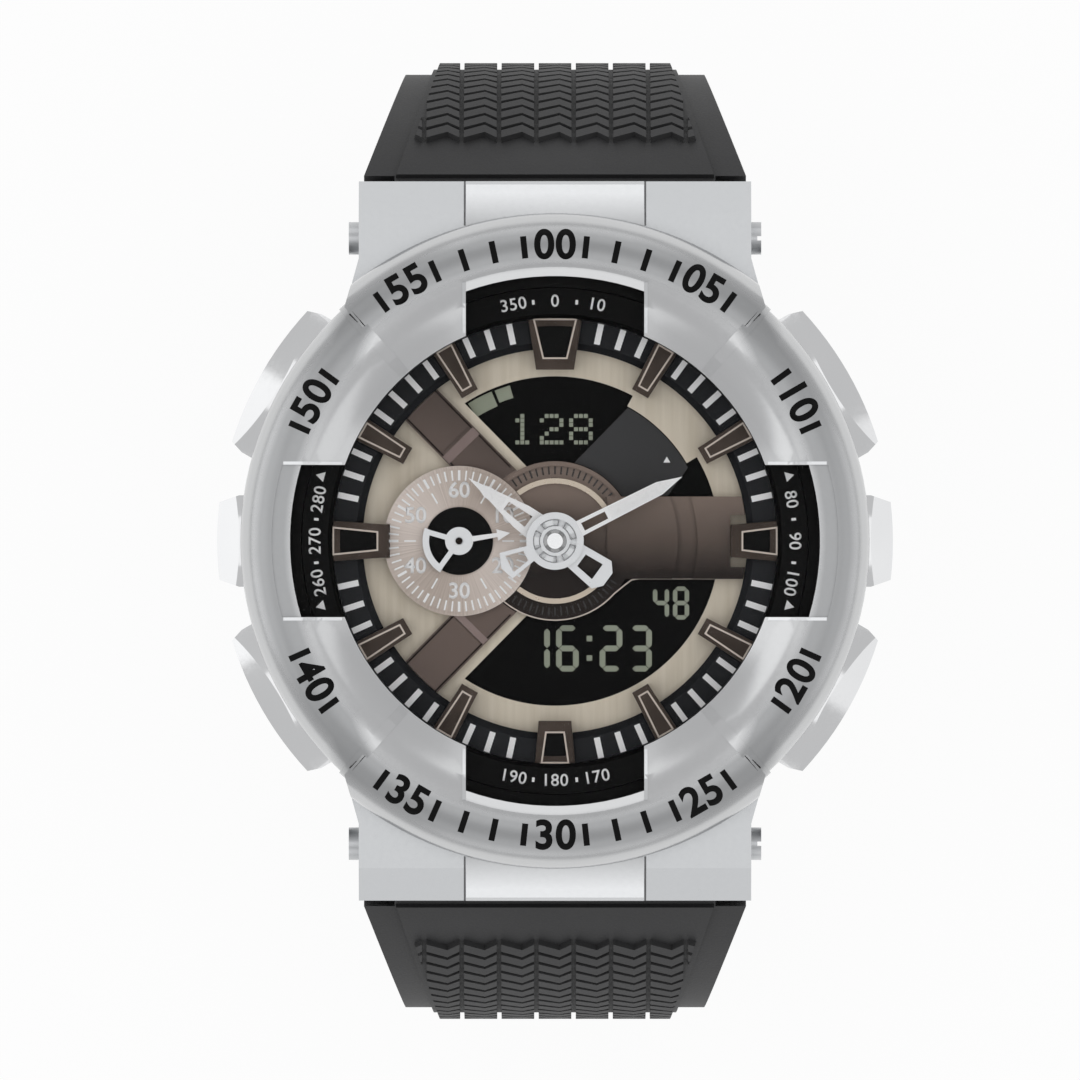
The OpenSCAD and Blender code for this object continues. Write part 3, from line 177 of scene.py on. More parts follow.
looks = {
    "chrome": finish("polishedChrome", (0.70, 0.705, 0.71), (0.76, 0.765, 0.77), 1.0, 0.1, bump=0.02),
    "steel": finish("brushedSteel", (0.48, 0.49, 0.50), (0.62, 0.63, 0.64), 1.0, 0.32,
                    stretch=(1, 14, 1)),
    "strap": finish("strapRubber", (0.024, 0.024, 0.025), (0.036, 0.036, 0.037), 0.0, 0.62,
                    grain=5200, bump=0.35, depth=0.00006),
    "seal": finish("sealRubber", (0.010, 0.010, 0.010), (0.018, 0.018, 0.018), 0.0, 0.5),
    "flange": finish("blackFlange", (0.002, 0.002, 0.002), (0.004, 0.004, 0.004), 0.0, 0.42,
                     Specular_IOR_Level=0.08),
    "chapter": finish("chapterRing", (0.009, 0.010, 0.012), (0.022, 0.023, 0.026), 0.0, 0.5,
                      grain=2600, bump=0.4, Specular_IOR_Level=0.15),
    "print": finish("whitePrint", (0.97, 0.97, 0.97), (1.0, 1.0, 1.0), 0.0, 0.5),
    "champagne": finish("champagneBrushing", (0.70, 0.62, 0.49), (0.82, 0.74, 0.61), 0.0, 0.45,
                        stretch=(22, 1, 1), grain=900, Specular_IOR_Level=0.3),
    "gold": finish("paleGold", (0.62, 0.48, 0.26), (0.78, 0.64, 0.40), 1.0, 0.22),
    "cell": finish("cellGlass", (0.001, 0.001, 0.001), (0.002, 0.002, 0.002), 0.0, 0.25,
                   Specular_IOR_Level=0.05),
    "plastic": finish("mouldedPlastic", (0.62, 0.62, 0.58), (0.72, 0.72, 0.68), 0.0, 0.48),
    "contact": finish("contactRubber", (0.22, 0.19, 0.21), (0.50, 0.45, 0.47), 0.0, 0.5,
                      stretch=(12, 1, 1)),
    "board": finish("boardMask", (0.010, 0.09, 0.035), (0.020, 0.14, 0.055), 0.0, 0.35),
    "wire": finish("enamelledWire", (0.40, 0.17, 0.07), (0.62, 0.28, 0.12), 0.9, 0.32,
                   stretch=(1, 1, 16)),
}


# Case plating: satin at the corners, polished on the raised panels between them; the panels' colour is
# painted dark by the bezel and light at the tip, a painted shade and highlight
def caseLook(name, satin, panelIn, panelOut, halfWidth):
    look = Look(name, satin, 1.0, 0.24)
    x, y = look.axes()
    fine = look.noise(2600, 5)
    onPanel = x.math("ABSOLUTE") < halfWidth * mm
    # Painted shade and highlight: the panel colour runs from dark by the bezel to light at the tip
    out = look.share(y.math("ABSOLUTE"), 23.6 * mm, 26.6 * mm)
    panel = look.mix(out, panelIn, panelOut)
    look.feed("Base Color", look.mix(onPanel, satin, panel))
    look.feed("Roughness", fine * 0.1 + 0.2 - onPanel * 0.08)
    look.bump(fine, 0.03, 0.00003)
    return look


# Bezel plating: the band under the figures is rougher, and its colour is painted darker as a painted shade
# for the darker reflection it shows
def bezelLook(name, polished, band, low, high, soft):
    look = Look(name, polished, 1.0, 0.2)
    x, y = look.axes()
    reach = look.reach(x, y) + look.noise(240, 3) * 0.0003 - 0.00015
    sideways = look.share(x.math("ABSOLUTE") - y.math("ABSOLUTE"), -2 * mm, 2 * mm)
    shifted = reach + sideways * 0.001
    inPaintedShadeBand = look.share(shifted, (low - soft) * mm, low * mm)
    inPaintedShadeBand = inPaintedShadeBand * (1 - look.share(shifted, high * mm, (high + soft) * mm))
    fine = look.noise(3000, 5)
    # Painted shade: the band's colour is darker than the polished plating
    look.feed("Base Color", look.mix(inPaintedShadeBand, polished, band))
    look.feed("Roughness", fine * 0.1 + 0.15 + inPaintedShadeBand * 0.12)
    look.bump(fine, 0.03, 0.00003)
    return look


# The two panel colours are a painted shade and a painted highlight
looks["case"] = caseLook("casePlating", (0.52, 0.53, 0.54), (0.36, 0.365, 0.37), (0.72, 0.73, 0.74), 6.8)
# The bezel's band colour is a painted shade
looks["bezel"] = bezelLook("bezelPlating", (0.58, 0.585, 0.59), (0.36, 0.365, 0.37), 21.7, 23.5, 1.0)


# Brown lacquer: the middle and the right arm darken downwards, and the upper slanted arm across its width
def lacquer(name, low, high, even, bottom, top, reach):
    look = Look(name, high, 0.0, 0.35, Specular_IOR_Level=0.2)
    x, y = look.axes()
    drift = look.noise(700, 3) * 0.0008 - 0.0004
    fall = look.share(y + drift, bottom * mm, top * mm)
    slanted = (x < 0) * (look.reach(x, y) > reach * mm)
    across = look.share(x * 0.7 + y * 0.7 + drift, -3 * mm, 3 * mm)
    arms = look.mix(across, tuple(c * 1.25 for c in even), tuple(c * 0.7 for c in even))
    look.feed("Base Color", look.mix(slanted, look.mix(fall, low, high), arms))
    fine = look.noise(2600, 4)
    look.feed("Roughness", fine * 0.14 + 0.24)
    look.bump(fine, 0.12, 0.00002)
    return look


looks["brown"] = lacquer("brownLacquer", (0.012, 0.006, 0.004), (0.23, 0.175, 0.145),
                         (0.125, 0.092, 0.078), -2.5, 3.4, 6.2)
looks["block"] = finish("brownBlocks", (0.040, 0.028, 0.021), (0.090, 0.066, 0.053), 0.0, 0.35,
                        drift=420, Specular_IOR_Level=0.15)


# Hands: white blade beyond the hub, bare metal on the hub and the tail
def handLook(name, at, reach, centre=(0, 0)):
    look = Look(name, (0.9, 0.9, 0.9), 0.0, 0.3, Specular_IOR_Level=0.3)
    x, y = look.axes()
    along = (x - centre[0]) * math.sin(math.radians(at)) + (y - centre[1]) * math.cos(math.radians(at))
    blade = along > reach * mm
    fine = look.noise(2400, 4)
    look.feed("Base Color", look.mix(blade, (0.62, 0.63, 0.64), (1.0, 1.0, 1.0)))
    look.feed("Metallic", 0.9 - blade * 0.9)
    look.feed("Roughness", fine * 0.12 + 0.24)
    look.bump(fine, 0.1, 0.00002)
    return look


handAngles = {"minute": 63.2, "hour": 306, "second": 81}
subDialAt = (-7.33 * mm, 0)
looks["minuteHand"] = handLook("minuteHandLacquer", handAngles["minute"], 2.1)
looks["hourHand"] = handLook("hourHandLacquer", handAngles["hour"], 2.1)
looks["secondHand"] = handLook("secondHandLacquer", handAngles["second"], 1.0, subDialAt)

# Centre ring: pale gold inside, dark marks outside
ringLook = Look("centreRing", (0.7, 0.6, 0.42), 0.8, 0.24)
ringReach = ringLook.reach(*ringLook.axes())
goldTo = 4.95 * mm
ringFine = ringLook.noise(2200, 4)
ringLook.feed("Base Color", ringLook.mix(ringReach > goldTo, (0.50, 0.43, 0.35), (0.012, 0.008, 0.006)))
ringLook.feed("Metallic", (ringReach < goldTo) * 0.8)
ringLook.feed("Roughness", ringFine * 0.14 + 0.22)
ringLook.bump(ringFine, 0.1, 0.00002)
looks["ring"] = ringLook


# Small dial: brushing that turns round its own middle, with a painted sheen: opposite pairs of sectors are
# painted lighter and darker
def sunburst(name, low, high, centre):
    look = Look(name, high, 0.1, 0.42, Specular_IOR_Level=0.25)
    spot = look.node("ShaderNodeMapping", {}, Vector=look.place,
                     Location=(-centre[0], -centre[1], 0))
    x, y = look.axes(spot)
    turn = y.math("ARCTAN2", x)
    rays = look.node("ShaderNodeTexNoise", {"noise_dimensions": "1D"}, W=turn, Scale=38.0, Detail=6.0)
    # The sine term is a painted sheen; the rays are the brushing
    brushingAndPaintedSheen = (turn * 2.0 + 2.5).math("SINE") * 0.2 + rays * 0.55 + 0.22
    look.tint(brushingAndPaintedSheen, low, high)
    look.bump(rays, 0.04, 0.00002)
    return look


looks["rose"] = sunburst("roseSunburst", (0.50, 0.42, 0.365), (0.80, 0.71, 0.65), subDialAt)

# Clear crystal: shows its edge and grazing gloss, and lets the dial through
crystalLook = Look("clearCrystal", (0.02, 0.02, 0.02), 0.0, 0.03)
facing = crystalLook.node("ShaderNodeLayerWeight", {}, Blend=0.2, out="Fresnel")
crystalLook.feed("Alpha", facing * 0.6 + crystalLook.noise(40, 2) * 0.01)
looks["crystal"] = crystalLook

lookOf = {
    "case": ["case_middle"],
    "bezel": ["bezel"],
    "crystal": ["crystal"],
    "seal": ["crystal_gasket", "back_gasket", "module_pad", "pusher_seals"],
    "flange": ["flange_ring", "index_inlays", "subdial_centre"],
    "chapter": ["chapter_ring"],
    "print": ["minute_ticks"],
    "brown": ["dial_bridge"],
    "block": ["hour_indexes"],
    "champagne": ["dial_plate"],
    "rose": ["subdial_disc"],
    "ring": ["centre_ring"],
    "gold": ["gear_plate", "piezo_disc", "cannon_pinion", "hour_wheel", "minute_wheel"],
    "cell": ["lcd_upper", "lcd_lower"],
    "minuteHand": ["minute_hand"],
    "hourHand": ["hour_hand"],
    "secondHand": ["seconds_hand"],
    "plastic": ["module_frame"],
    "contact": ["zebra_strips"],
    "board": ["circuit_board"],
    "wire": ["motor_coils"],
    "chrome": ["pusher_" + str(hour) for hour in (2, 3, 4, 8, 9, 10)] + ["hand_cap"],
    "strap": ["strap_upper", "strap_lower", "keeper"],
}
named = {node: look for look, members in lookOf.items() for node in members}
for name, node in nodes.items():
    node.data.materials.clear()
    node.data.materials.append(looks[named.get(name, "steel")].material)
print("finishes given to", len(nodes), "nodes")


# Makes a piece of a shape, on its body and with its look's material
def keep(shape, name, look, body, slot):
    mesh = bpy.data.meshes.new(name)
    shape.to_mesh(mesh)
    shape.free()
    piece = bpy.data.objects.new(name, mesh)
    bpy.context.scene.collection.objects.link(piece)
    mesh.materials.append(looks[look].material)
    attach(piece, body)
    return piece


def mergedCopy(node):
    shape = bmesh.new()
    shape.from_mesh(nodes[node].data)
    bmesh.ops.remove_doubles(shape, verts=shape.verts, dist=0.002 * mm)
    return shape


def slotOf(node):
    return next(part["material_slot"] for part in frame["record"]["subparts"] if part["node"] == node)


# Merged copies of the rounded metal nodes shade as one skin between their real edges
def smoothCopy(node, sharpness):
    shape = mergedCopy(node)
    for face in shape.faces:
        face.smooth = True
    for edge in shape.edges:
        edge.smooth = len(edge.link_faces) == 2 and edge.calc_face_angle(0) < math.radians(sharpness)
    piece = keep(shape, node + "_skin", named[node], body_of(nodes[node])[0], slotOf(node))
    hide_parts(node)


for node in ["bezel"] + lookOf["chrome"]:
    smoothCopy(node, 24)
print("smooth skins made")

# Each return spring is a piece of its own
springs = {"shortened": 0.73 * mm, "inLine": 0.97}
looks["spring"] = finish("springWire", (0.46, 0.47, 0.48), (0.60, 0.61, 0.62), 1.0, 0.25)
for hour in (2, 3, 4, 8, 9, 10):
    joint = "pusher_" + str(hour) + "_press"
    press = next(Vector(j["axis"]) for j in frame["record"]["behaviour"]["joints"] if j["name"] == joint)
    shape = mergedCopy("pusher_springs")
    others = [v for v in shape.verts
              if Vector((v.co.x, v.co.y, 0)).normalized().dot(-press) < springs["inLine"]]
    bmesh.ops.delete(shape, geom=others, context="VERTS")
    reaches = [v.co.dot(-press) for v in shape.verts]
    length = max(reaches) - min(reaches)
    height = sum(v.co.z for v in shape.verts) / len(shape.verts)
    inner = -press * min(reaches) + Vector((0, 0, height))
    spring = keep(shape, "pusher_spring_" + str(hour), "spring", "case", slotOf("pusher_springs"))
    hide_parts("pusher_springs")
    1 - springs["shortened"] / length
    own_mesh(spring)
    print("spring", hour, "length", round(length / mm, 2), "mm")

# Heights, from the nodes themselves
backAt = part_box("case_back")[0].z
bezelTop = backAt + 16.6 * mm
flangeTop = backAt + 12.9 * mm
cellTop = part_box("lcd_upper")[1].z
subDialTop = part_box("subdial_disc")[1].z - 0.06 * mm


# Section of the bezel. Its ends reach `endsTo` degrees from 12 and 6 o'clock; plain radii are mm
bezelShape = {"ends": {"outer": 25, "chamfer": 19.2}, "sides": {"outer": 24, "chamfer": 18.7},
              "endsTo": 42, "round": 3.2 * mm, "roundDrop": 2.6 * mm, "lead": math.radians(100),
              "innerDrop": 0.55 * mm}


def bezelSide(point):
    upright = abs(math.degrees(math.atan2(point.x, point.y)))
    inEnds = upright < bezelShape["endsTo"] or upright > 180 - bezelShape["endsTo"]
    return bezelShape["ends" if inEnds else "sides"]


def bezelHeight(point):
    radius = math.hypot(point.x, point.y)
    chamfer = bezelSide(point)["chamfer"] * mm
    crown = bezelSide(point)["outer"] * mm - bezelShape["round"]
    lead = crown + bezelShape["round"] * math.cos(bezelShape["lead"])
    leadDrop = bezelShape["roundDrop"] * (1 - math.sin(bezelShape["lead"]))
    if radius < lead:
        along = (radius - chamfer) / (lead - chamfer)
        return bezelTop - bezelShape["innerDrop"] + along * (bezelShape["innerDrop"] - leadDrop)
    across = min(1, max(-1, (radius - crown) / bezelShape["round"]))
    return bezelTop - bezelShape["roundDrop"] * (1 - math.sqrt(1 - across * across))


def flangeHeight(point):
    radius = math.hypot(point.x, point.y)
    slope = min(1, max(0, (radius - 17.35 * mm) / (1.95 * mm)))
    return flangeTop - 0.7 * mm + slope * 0.3 * mm


def words(text, size, spacing=1.0, weight=0.0):
    curve = bpy.data.curves.new("figures", "FONT")
    curve.body = text
    curve.size = size
    curve.space_character = spacing
    curve.offset = size * weight
    curve.align_x = "CENTER"
    curve.align_y = "CENTER"
    holder = bpy.data.objects.new("figures", curve)
    bpy.context.scene.collection.objects.link(holder)
    bpy.context.view_layer.update()
    flat = bpy.data.meshes.new_from_object(holder.evaluated_get(bpy.context.evaluated_depsgraph_get()))
    bpy.data.objects.remove(holder)
    shape = bmesh.new()
    shape.from_mesh(flat)
    return shape


def bar(width, length):
    shape = bmesh.new()
    bmesh.ops.create_grid(shape, x_segments=1, y_segments=1, size=0.5)
    bmesh.ops.scale(shape, vec=(width, length, 1), verts=shape.verts)
    return shape


def triangle(width, length):
    shape = bmesh.new()
    bmesh.ops.create_circle(shape, cap_ends=True, segments=3, radius=0.5)
    bmesh.ops.scale(shape, vec=(width, length, 1), verts=shape.verts)
    return shape


# Flat shape from corner points, or only a rim along its edge
def flatShape(points, rim=0.0):
    shape = bmesh.new()
    face = shape.faces.new([shape.verts.new((x, y, 0)) for x, y in points])
    face.normal_update()
    if face.normal.z < 0:
        face.normal_flip()
    if rim:
        bmesh.ops.inset_region(shape, faces=[face], thickness=rim, use_boundary=True,
                               use_even_offset=True)
        bmesh.ops.delete(shape, geom=[face], context="FACES_ONLY")
    return shape


# Turns a shape about the middle of the dial, in degrees
def turned(shape, turn):
    bmesh.ops.rotate(shape, cent=(0, 0, 0), matrix=Matrix.Rotation(math.radians(turn), 3, "Z"),
                     verts=shape.verts)
    return shape


def inMm(points):
    return [(x * mm, y * mm) for x, y in points]


def plate(left, low, right, high):
    return flatShape(inMm([(left, low), (right, low), (right, high), (left, high)]))


def arcPoints(radius, start, end, steps=40):
    return [(radius * math.cos(math.radians(start + (end - start) * i / steps)),
             radius * math.sin(math.radians(start + (end - start) * i / steps))) for i in range(steps + 1)]


# Strip of even width along a line of points
def strip(points, width):
    shape = bmesh.new()
    pairs = []
    for i, (x, y) in enumerate(points):
        before, after = points[max(0, i - 1)], points[min(len(points) - 1, i + 1)]
        run = Vector((after[0] - before[0], after[1] - before[1])).normalized()
        side = Vector((-run.y, run.x)) * width / 2
        pairs.append([shape.verts.new((x + side.x * s, y + side.y * s, 0)) for s in (-1, 1)])
    for first, second in zip(pairs, pairs[1:]):
        shape.faces.new((first[0], second[0], second[1], first[1]))
    return shape


def join(whole, shape):
    mesh = bpy.data.meshes.new("part")
    shape.to_mesh(mesh)
    shape.free()
    whole.from_mesh(mesh)
    bpy.data.meshes.remove(mesh)


# Turns flat marks to clock angle `at` and radius, and joins them into one shape
def gather(whole, mark, radius, at, centre=(0, 0), upright=False, flip=False, cuts=0.0):
    if cuts:
        low = min(v.co.y for v in mark.verts)
        high = max(v.co.y for v in mark.verts)
        while low + cuts < high:
            low += cuts
            bmesh.ops.bisect_plane(mark, geom=mark.verts[:] + mark.edges[:] + mark.faces[:],
                                   plane_co=(0, low, 0), plane_no=(0, 1, 0))
    turn = 0 if upright else -math.radians(at) + (math.pi if flip else 0)
    bmesh.ops.transform(mark, matrix=Matrix.Rotation(turn, 4, "Z"), verts=mark.verts)
    spot = Vector((centre[0] + radius * math.sin(math.radians(at)),
                   centre[1] + radius * math.cos(math.radians(at)), 0))
    bmesh.ops.translate(mark, vec=spot, verts=mark.verts)
    join(whole, mark)


# Gives flat marks their place in height and a little thickness
def settle(whole, height, lift, thickness):
    for vertex in whole.verts:
        base = height(vertex.co) if callable(height) else height
        vertex.co.z = base + lift
    bmesh.ops.recalc_face_normals(whole, faces=whole.faces)
    grown = bmesh.ops.extrude_face_region(whole, geom=whole.faces[:])
    top = [v for v in grown["geom"] if isinstance(v, bmesh.types.BMVert)]
    bmesh.ops.translate(whole, vec=(0, 0, thickness), verts=top)
    bmesh.ops.recalc_face_normals(whole, faces=whole.faces)


# Plain sixty-minute figures on the bezel
bezelMarks = {"figure": 3.1 * mm, "spacing": 1.06, "weight": 0.028, "endRadius": 22.5 * mm,
              "sideRadius": 21.3 * mm, "barWidth": 0.46 * mm, "barLength": 1.7 * mm, "cuts": 0.25 * mm,
              "endsTo": 43, "bareFrom": 42, "bareTo": 53, "sidesTo": 71, "sink": 0.02 * mm,
              "thickness": 0.04 * mm}
looks["ink"] = finish("blackInlay", (0.002, 0.002, 0.002), (0.005, 0.005, 0.005), 0.0, 0.45,
                      Specular_IOR_Level=0.08)
scale = bmesh.new()
for minute in range(60):
    at = minute * 6
    upright = min(at % 180, 180 - at % 180)
    inEnds = upright < bezelMarks["endsTo"]
    if upright > bezelMarks["sidesTo"] or bezelMarks["bareFrom"] < upright < bezelMarks["bareTo"]:
        continue
    radius = bezelMarks["endRadius" if inEnds else "sideRadius"]
    if minute % 5 == 0:
        figure = words("%02d" % minute, bezelMarks["figure"], bezelMarks["spacing"], bezelMarks["weight"])
        gather(scale, figure, radius, at, flip=90 < at < 270, cuts=bezelMarks["cuts"])
    elif inEnds or minute % 5 in (1, 4):
        gather(scale, bar(bezelMarks["barWidth"], bezelMarks["barLength"]), radius, at,
               cuts=bezelMarks["cuts"])
settle(scale, bezelHeight, -bezelMarks["sink"], bezelMarks["thickness"])
keep(scale, "bezel_figures", "ink", "case", "black_ring")
print("bezel figures done")

# Small degree scale on the flange, in the four windows
flangeMarks = {"figure": 1.3 * mm, "spacing": 1.08, "weight": 0.012, "radius": 18.3 * mm, "step": 10,
               "dotStep": 5.2, "dotWidth": 0.2 * mm, "dotLength": 0.35 * mm, "arrow": 0.9 * mm,
               "arrowRadius": 18.5 * mm, "arrowsAt": (74.5, 105.5, 254.5, 285.5), "cuts": 0.3 * mm,
               "sink": 0.01 * mm, "thickness": 0.03 * mm}
degrees = bmesh.new()
for middle in (0, 90, 180, 270):
    for step in (-flangeMarks["step"], 0, flangeMarks["step"]):
        figure = words(str((middle + step) % 360), flangeMarks["figure"], flangeMarks["spacing"],
                       flangeMarks["weight"])
        gather(degrees, figure, flangeMarks["radius"], middle + step, flip=middle == 180,
               cuts=flangeMarks["cuts"])
    for step in (-flangeMarks["dotStep"], flangeMarks["dotStep"]):
        gather(degrees, bar(flangeMarks["dotWidth"], flangeMarks["dotLength"]), flangeMarks["radius"],
               middle + step)
for at in flangeMarks["arrowsAt"]:
    gather(degrees, triangle(flangeMarks["arrow"], flangeMarks["arrow"]), flangeMarks["arrowRadius"], at)
settle(degrees, flangeHeight, -flangeMarks["sink"], flangeMarks["thickness"])
keep(degrees, "flange_figures", "print", "case", "white_paint")
print("flange figures done")

# Print on the small seconds dial
smallMarks = {"barRadius": 5.02 * mm, "barLength": 0.78 * mm, "wide": 0.2 * mm, "narrow": 0.13 * mm,
              "figure": 1.68 * mm, "weight": 0.022, "figureRadius": 3.85 * mm, "halfRadius": 3.75 * mm,
              "halfLength": 0.9 * mm, "thickness": 0.03 * mm}
small = bmesh.new()
for second in range(60):
    width = smallMarks["narrow" if second % 5 else "wide"]
    gather(small, bar(width, smallMarks["barLength"]), smallMarks["barRadius"], second * 6,
           centre=subDialAt)
for second in range(0, 60, 10):
    gather(small, words(str(second or 60), smallMarks["figure"], 1.0, smallMarks["weight"]),
           smallMarks["figureRadius"], second * 6, centre=subDialAt, upright=True)
for second in range(5, 60, 10):
    gather(small, bar(smallMarks["narrow"], smallMarks["halfLength"]), smallMarks["halfRadius"],
           second * 6, centre=subDialAt)
settle(small, subDialTop, 0.0, smallMarks["thickness"])
keep(small, "subdial_print", "print", "case", "white_paint")
print("small dial print done")

# Digits of the liquid crystal windows
looks["digit"] = finish("liquidCrystal", (0.30, 0.33, 0.25), (0.36, 0.39, 0.31), 0.0, 0.5,
                        Specular_IOR_Level=0.1)
segmentsOf = {"1": "bc", "2": "abged", "3": "abgcd", "4": "fgbc", "6": "afgedc", "8": "abcdefg"}
photoMm = 0.0765 * mm


# Place on the dial of a point that was measured in the photograph's pixels
def measured(px, py):
    return ((px - 555) * photoMm, (541 - py) * photoMm)


def segmentBar(whole, x, y, length, thick, upright):
    half, slope = length / 2, thick / 2
    shape = flatShape([(-half, 0), (slope - half, -slope), (half - slope, -slope), (half, 0),
                       (half - slope, slope), (slope - half, slope)])
    turn = Matrix.Rotation(math.pi / 2 if upright else 0, 4, "Z")
    bmesh.ops.transform(shape, matrix=Matrix.Translation((x, y, 0)) @ turn, verts=shape.verts)
    join(whole, shape)


def digit(whole, character, x, y, width, height, thick):
    half = height / 2
    places = {"a": (0, half, 0), "g": (0, 0, 0), "d": (0, -half, 0), "f": (-width / 2, half / 2, 1),
              "b": (width / 2, half / 2, 1), "e": (-width / 2, -half / 2, 1),
              "c": (width / 2, -half / 2, 1)}
    for letter in segmentsOf[character]:
        dx, dy, upright = places[letter]
        segmentBar(whole, x + dx, y + dy, (half if upright else width) - thick * 0.12, thick, upright)


# Figures, their middles, the row, and their width, height and thickness
lowerRows = (("1623", (538.5, 567.4, 611, 640.5), 648.4, 1.3 * mm, 3.1 * mm, 0.44 * mm),
             ("48", (661, 681), 603, 0.9 * mm, 2.2 * mm, 0.34 * mm))
colon = {"across": 589.4, "rows": (638.5, 658), "size": 0.42 * mm}
cells = bmesh.new()
for characters, middles, row, width, height, thick in lowerRows:
    for character, px in zip(characters, middles):
        digit(cells, character, *measured(px, row), width, height, thick)
for py in colon["rows"]:
    gather(cells, bar(colon["size"], colon["size"]), 0, 0, centre=measured(colon["across"], py))
cellThickness = 0.02 * mm
settle(cells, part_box("lcd_lower")[1].z, 0.0, cellThickness)
keep(cells, "lower_digits", "digit", "case", "lcd_glass")

# Dot figures of the upper window, five dots across and seven high
dotRows = {"1": "00100 01100 00100 00100 00100 00100 01110",
           "2": "01110 10001 00001 00110 01000 10000 11111",
           "8": "01110 10001 10001 01110 10001 10001 01110"}
dotMarks = {"left": 512.5, "top": 416, "figureStep": 29.3, "across": 4.9, "down": 4.4, "size": 0.3 * mm}
dots = bmesh.new()
for index, character in enumerate("128"):
    for row, line in enumerate(dotRows[character].split()):
        for column, lit in enumerate(line):
            if lit == "1":
                px = dotMarks["left"] + index * dotMarks["figureStep"] + column * dotMarks["across"]
                gather(dots, bar(dotMarks["size"], dotMarks["size"]), 0, 0,
                       centre=measured(px, dotMarks["top"] + row * dotMarks["down"]))
# Two blocks at the window's left: from and to in degrees, inner and outer radius
for low, high, inner, outer in ((113, 122.3, 146.5, 162.5), (106.2, 111.9, 149, 162)):
    join(dots, flatShape(arcPoints(outer * photoMm, low, high, 6)
                         + arcPoints(inner * photoMm, high, low, 6)))
settle(dots, cellTop, 0.0, cellThickness)
keep(dots, "upper_digits", "digit", "case", "lcd_glass")
print("window digits done")


# Grey field between the two parts of the upper window
field = {"inner": 6.15 * mm, "outer": 11.62 * mm, "leftAngle": 45.7, "leftAt": 3.13 * mm,
         "rightAngle": 54.3, "rightAt": -4.99 * mm, "low": 3.45 * mm}
looks["field"] = finish("greyField", (0.050, 0.050, 0.051), (0.062, 0.062, 0.064), 0.0, 0.5,
                        Specular_IOR_Level=0.1)


def lineAtRadius(angle, offset, radius):
    along = math.sqrt(radius * radius - offset * offset)
    cosine, sine = math.cos(math.radians(angle)), math.sin(math.radians(angle))
    return (along * cosine - offset * sine, along * sine + offset * cosine)


def turnOf(point):
    return math.degrees(math.atan2(point[1], point[0]))


leftLow = lineAtRadius(field["leftAngle"], field["leftAt"], field["inner"])
leftHigh = lineAtRadius(field["leftAngle"], field["leftAt"], field["outer"])
rightHigh = lineAtRadius(field["rightAngle"], field["rightAt"], field["outer"])
rightSlope = math.tan(math.radians(field["rightAngle"]))
rightLow = (rightHigh[0] - (rightHigh[1] - field["low"]) / rightSlope, field["low"])
ringLow = (math.sqrt(field["inner"] ** 2 - field["low"] ** 2), field["low"])
grey = flatShape([leftLow, leftHigh] + arcPoints(field["outer"], turnOf(leftHigh), turnOf(rightHigh))[1:-1]
                 + [rightHigh, rightLow, ringLow]
                 + arcPoints(field["inner"], turnOf(ringLow), turnOf(leftLow))[1:-1])
settle(grey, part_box("dial_plate")[1].z, 0.0, 0.03 * mm)
keep(grey, "grey_field", "field", "case", "dark_ring")
mark = bmesh.new()
gather(mark, triangle(0.62 * mm, 0.6 * mm), 0, 0, centre=(8.55 * mm, 6.15 * mm))
settle(mark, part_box("dial_plate")[1].z + 0.03 * mm, 0.0, 0.02 * mm)
keep(mark, "field_mark", "print", "case", "white_paint")
print("grey field done")

# Painted highlights: thin pale lines along the edges of the centre ring and the right arm stand for light
# caught on those edges
edgeHighlightMarks = {"ring": 6.05 * mm, "ringFrom": 228, "ringTo": 318, "width": 0.09 * mm, "height": 9.92 * mm,
             "thickness": 0.03 * mm, "arm": [(5.35, -3.35), (5.85, -2.98), (6.4, -2.88), (13.2, -2.88)]}
looks["edge"] = finish("paleEdge", (0.50, 0.43, 0.37), (0.66, 0.58, 0.51), 0.3, 0.3)
edges = bmesh.new()
edgeLine = arcPoints(edgeHighlightMarks["ring"], edgeHighlightMarks["ringFrom"], edgeHighlightMarks["ringTo"])
join(edges, strip(edgeLine + inMm(edgeHighlightMarks["arm"]), edgeHighlightMarks["width"]))
settle(edges, backAt + edgeHighlightMarks["height"], 0.0, edgeHighlightMarks["thickness"])
keep(edges, "bridge_edges", "edge", "case", "rose_champagne")

# A band across each slanted arm, and a dark line along each of its sides; plain numbers are mm
armMarks = {"half": 1.62, "lineIn": 1.46, "lineOut": 1.58, "lineFrom": 6.4, "lineTo": 15.3,
            "height": 9.8 * mm, "bandThickness": 0.06 * mm, "lineThickness": 0.03 * mm}
looks["band"] = finish("armBand", (0.16, 0.115, 0.105), (0.24, 0.180, 0.165), 0.4, 0.3)
looks["dark"] = finish("armGrooves", (0.010, 0.006, 0.005), (0.020, 0.013, 0.011), 0.0, 0.45,
                       Specular_IOR_Level=0.1)
bands, grooves = bmesh.new(), bmesh.new()
for turn, start, end in ((134.5, 9.87, 10.62), (225.5, 8.95, 9.5)):
    join(bands, turned(plate(start, -armMarks["half"], end, armMarks["half"]), turn))
    for low, high in ((-armMarks["lineOut"], -armMarks["lineIn"]), (armMarks["lineIn"], armMarks["lineOut"])):
        join(grooves, turned(plate(armMarks["lineFrom"], low, armMarks["lineTo"], high), turn))
settle(bands, backAt + armMarks["height"], 0.0, armMarks["bandThickness"])
settle(grooves, backAt + armMarks["height"], 0.0, armMarks["lineThickness"])
keep(bands, "arm_bands", "band", "case", "brown_metal")
keep(grooves, "arm_grooves", "dark", "case", "dark_ring")
print("arm trim done")

# Painted highlights: pale lines round the tops of the hour indexes stand for light caught on their bevels;
# plain numbers are mm
indexHighlightMarks = {"reach": 17.0, "wideEdge": 0.5, "edge": 0.26, "inner": 1.6, "rim": 0.13 * mm,
             "thickness": 0.03 * mm, "plain": (13.0, 1.9, 1.4)}
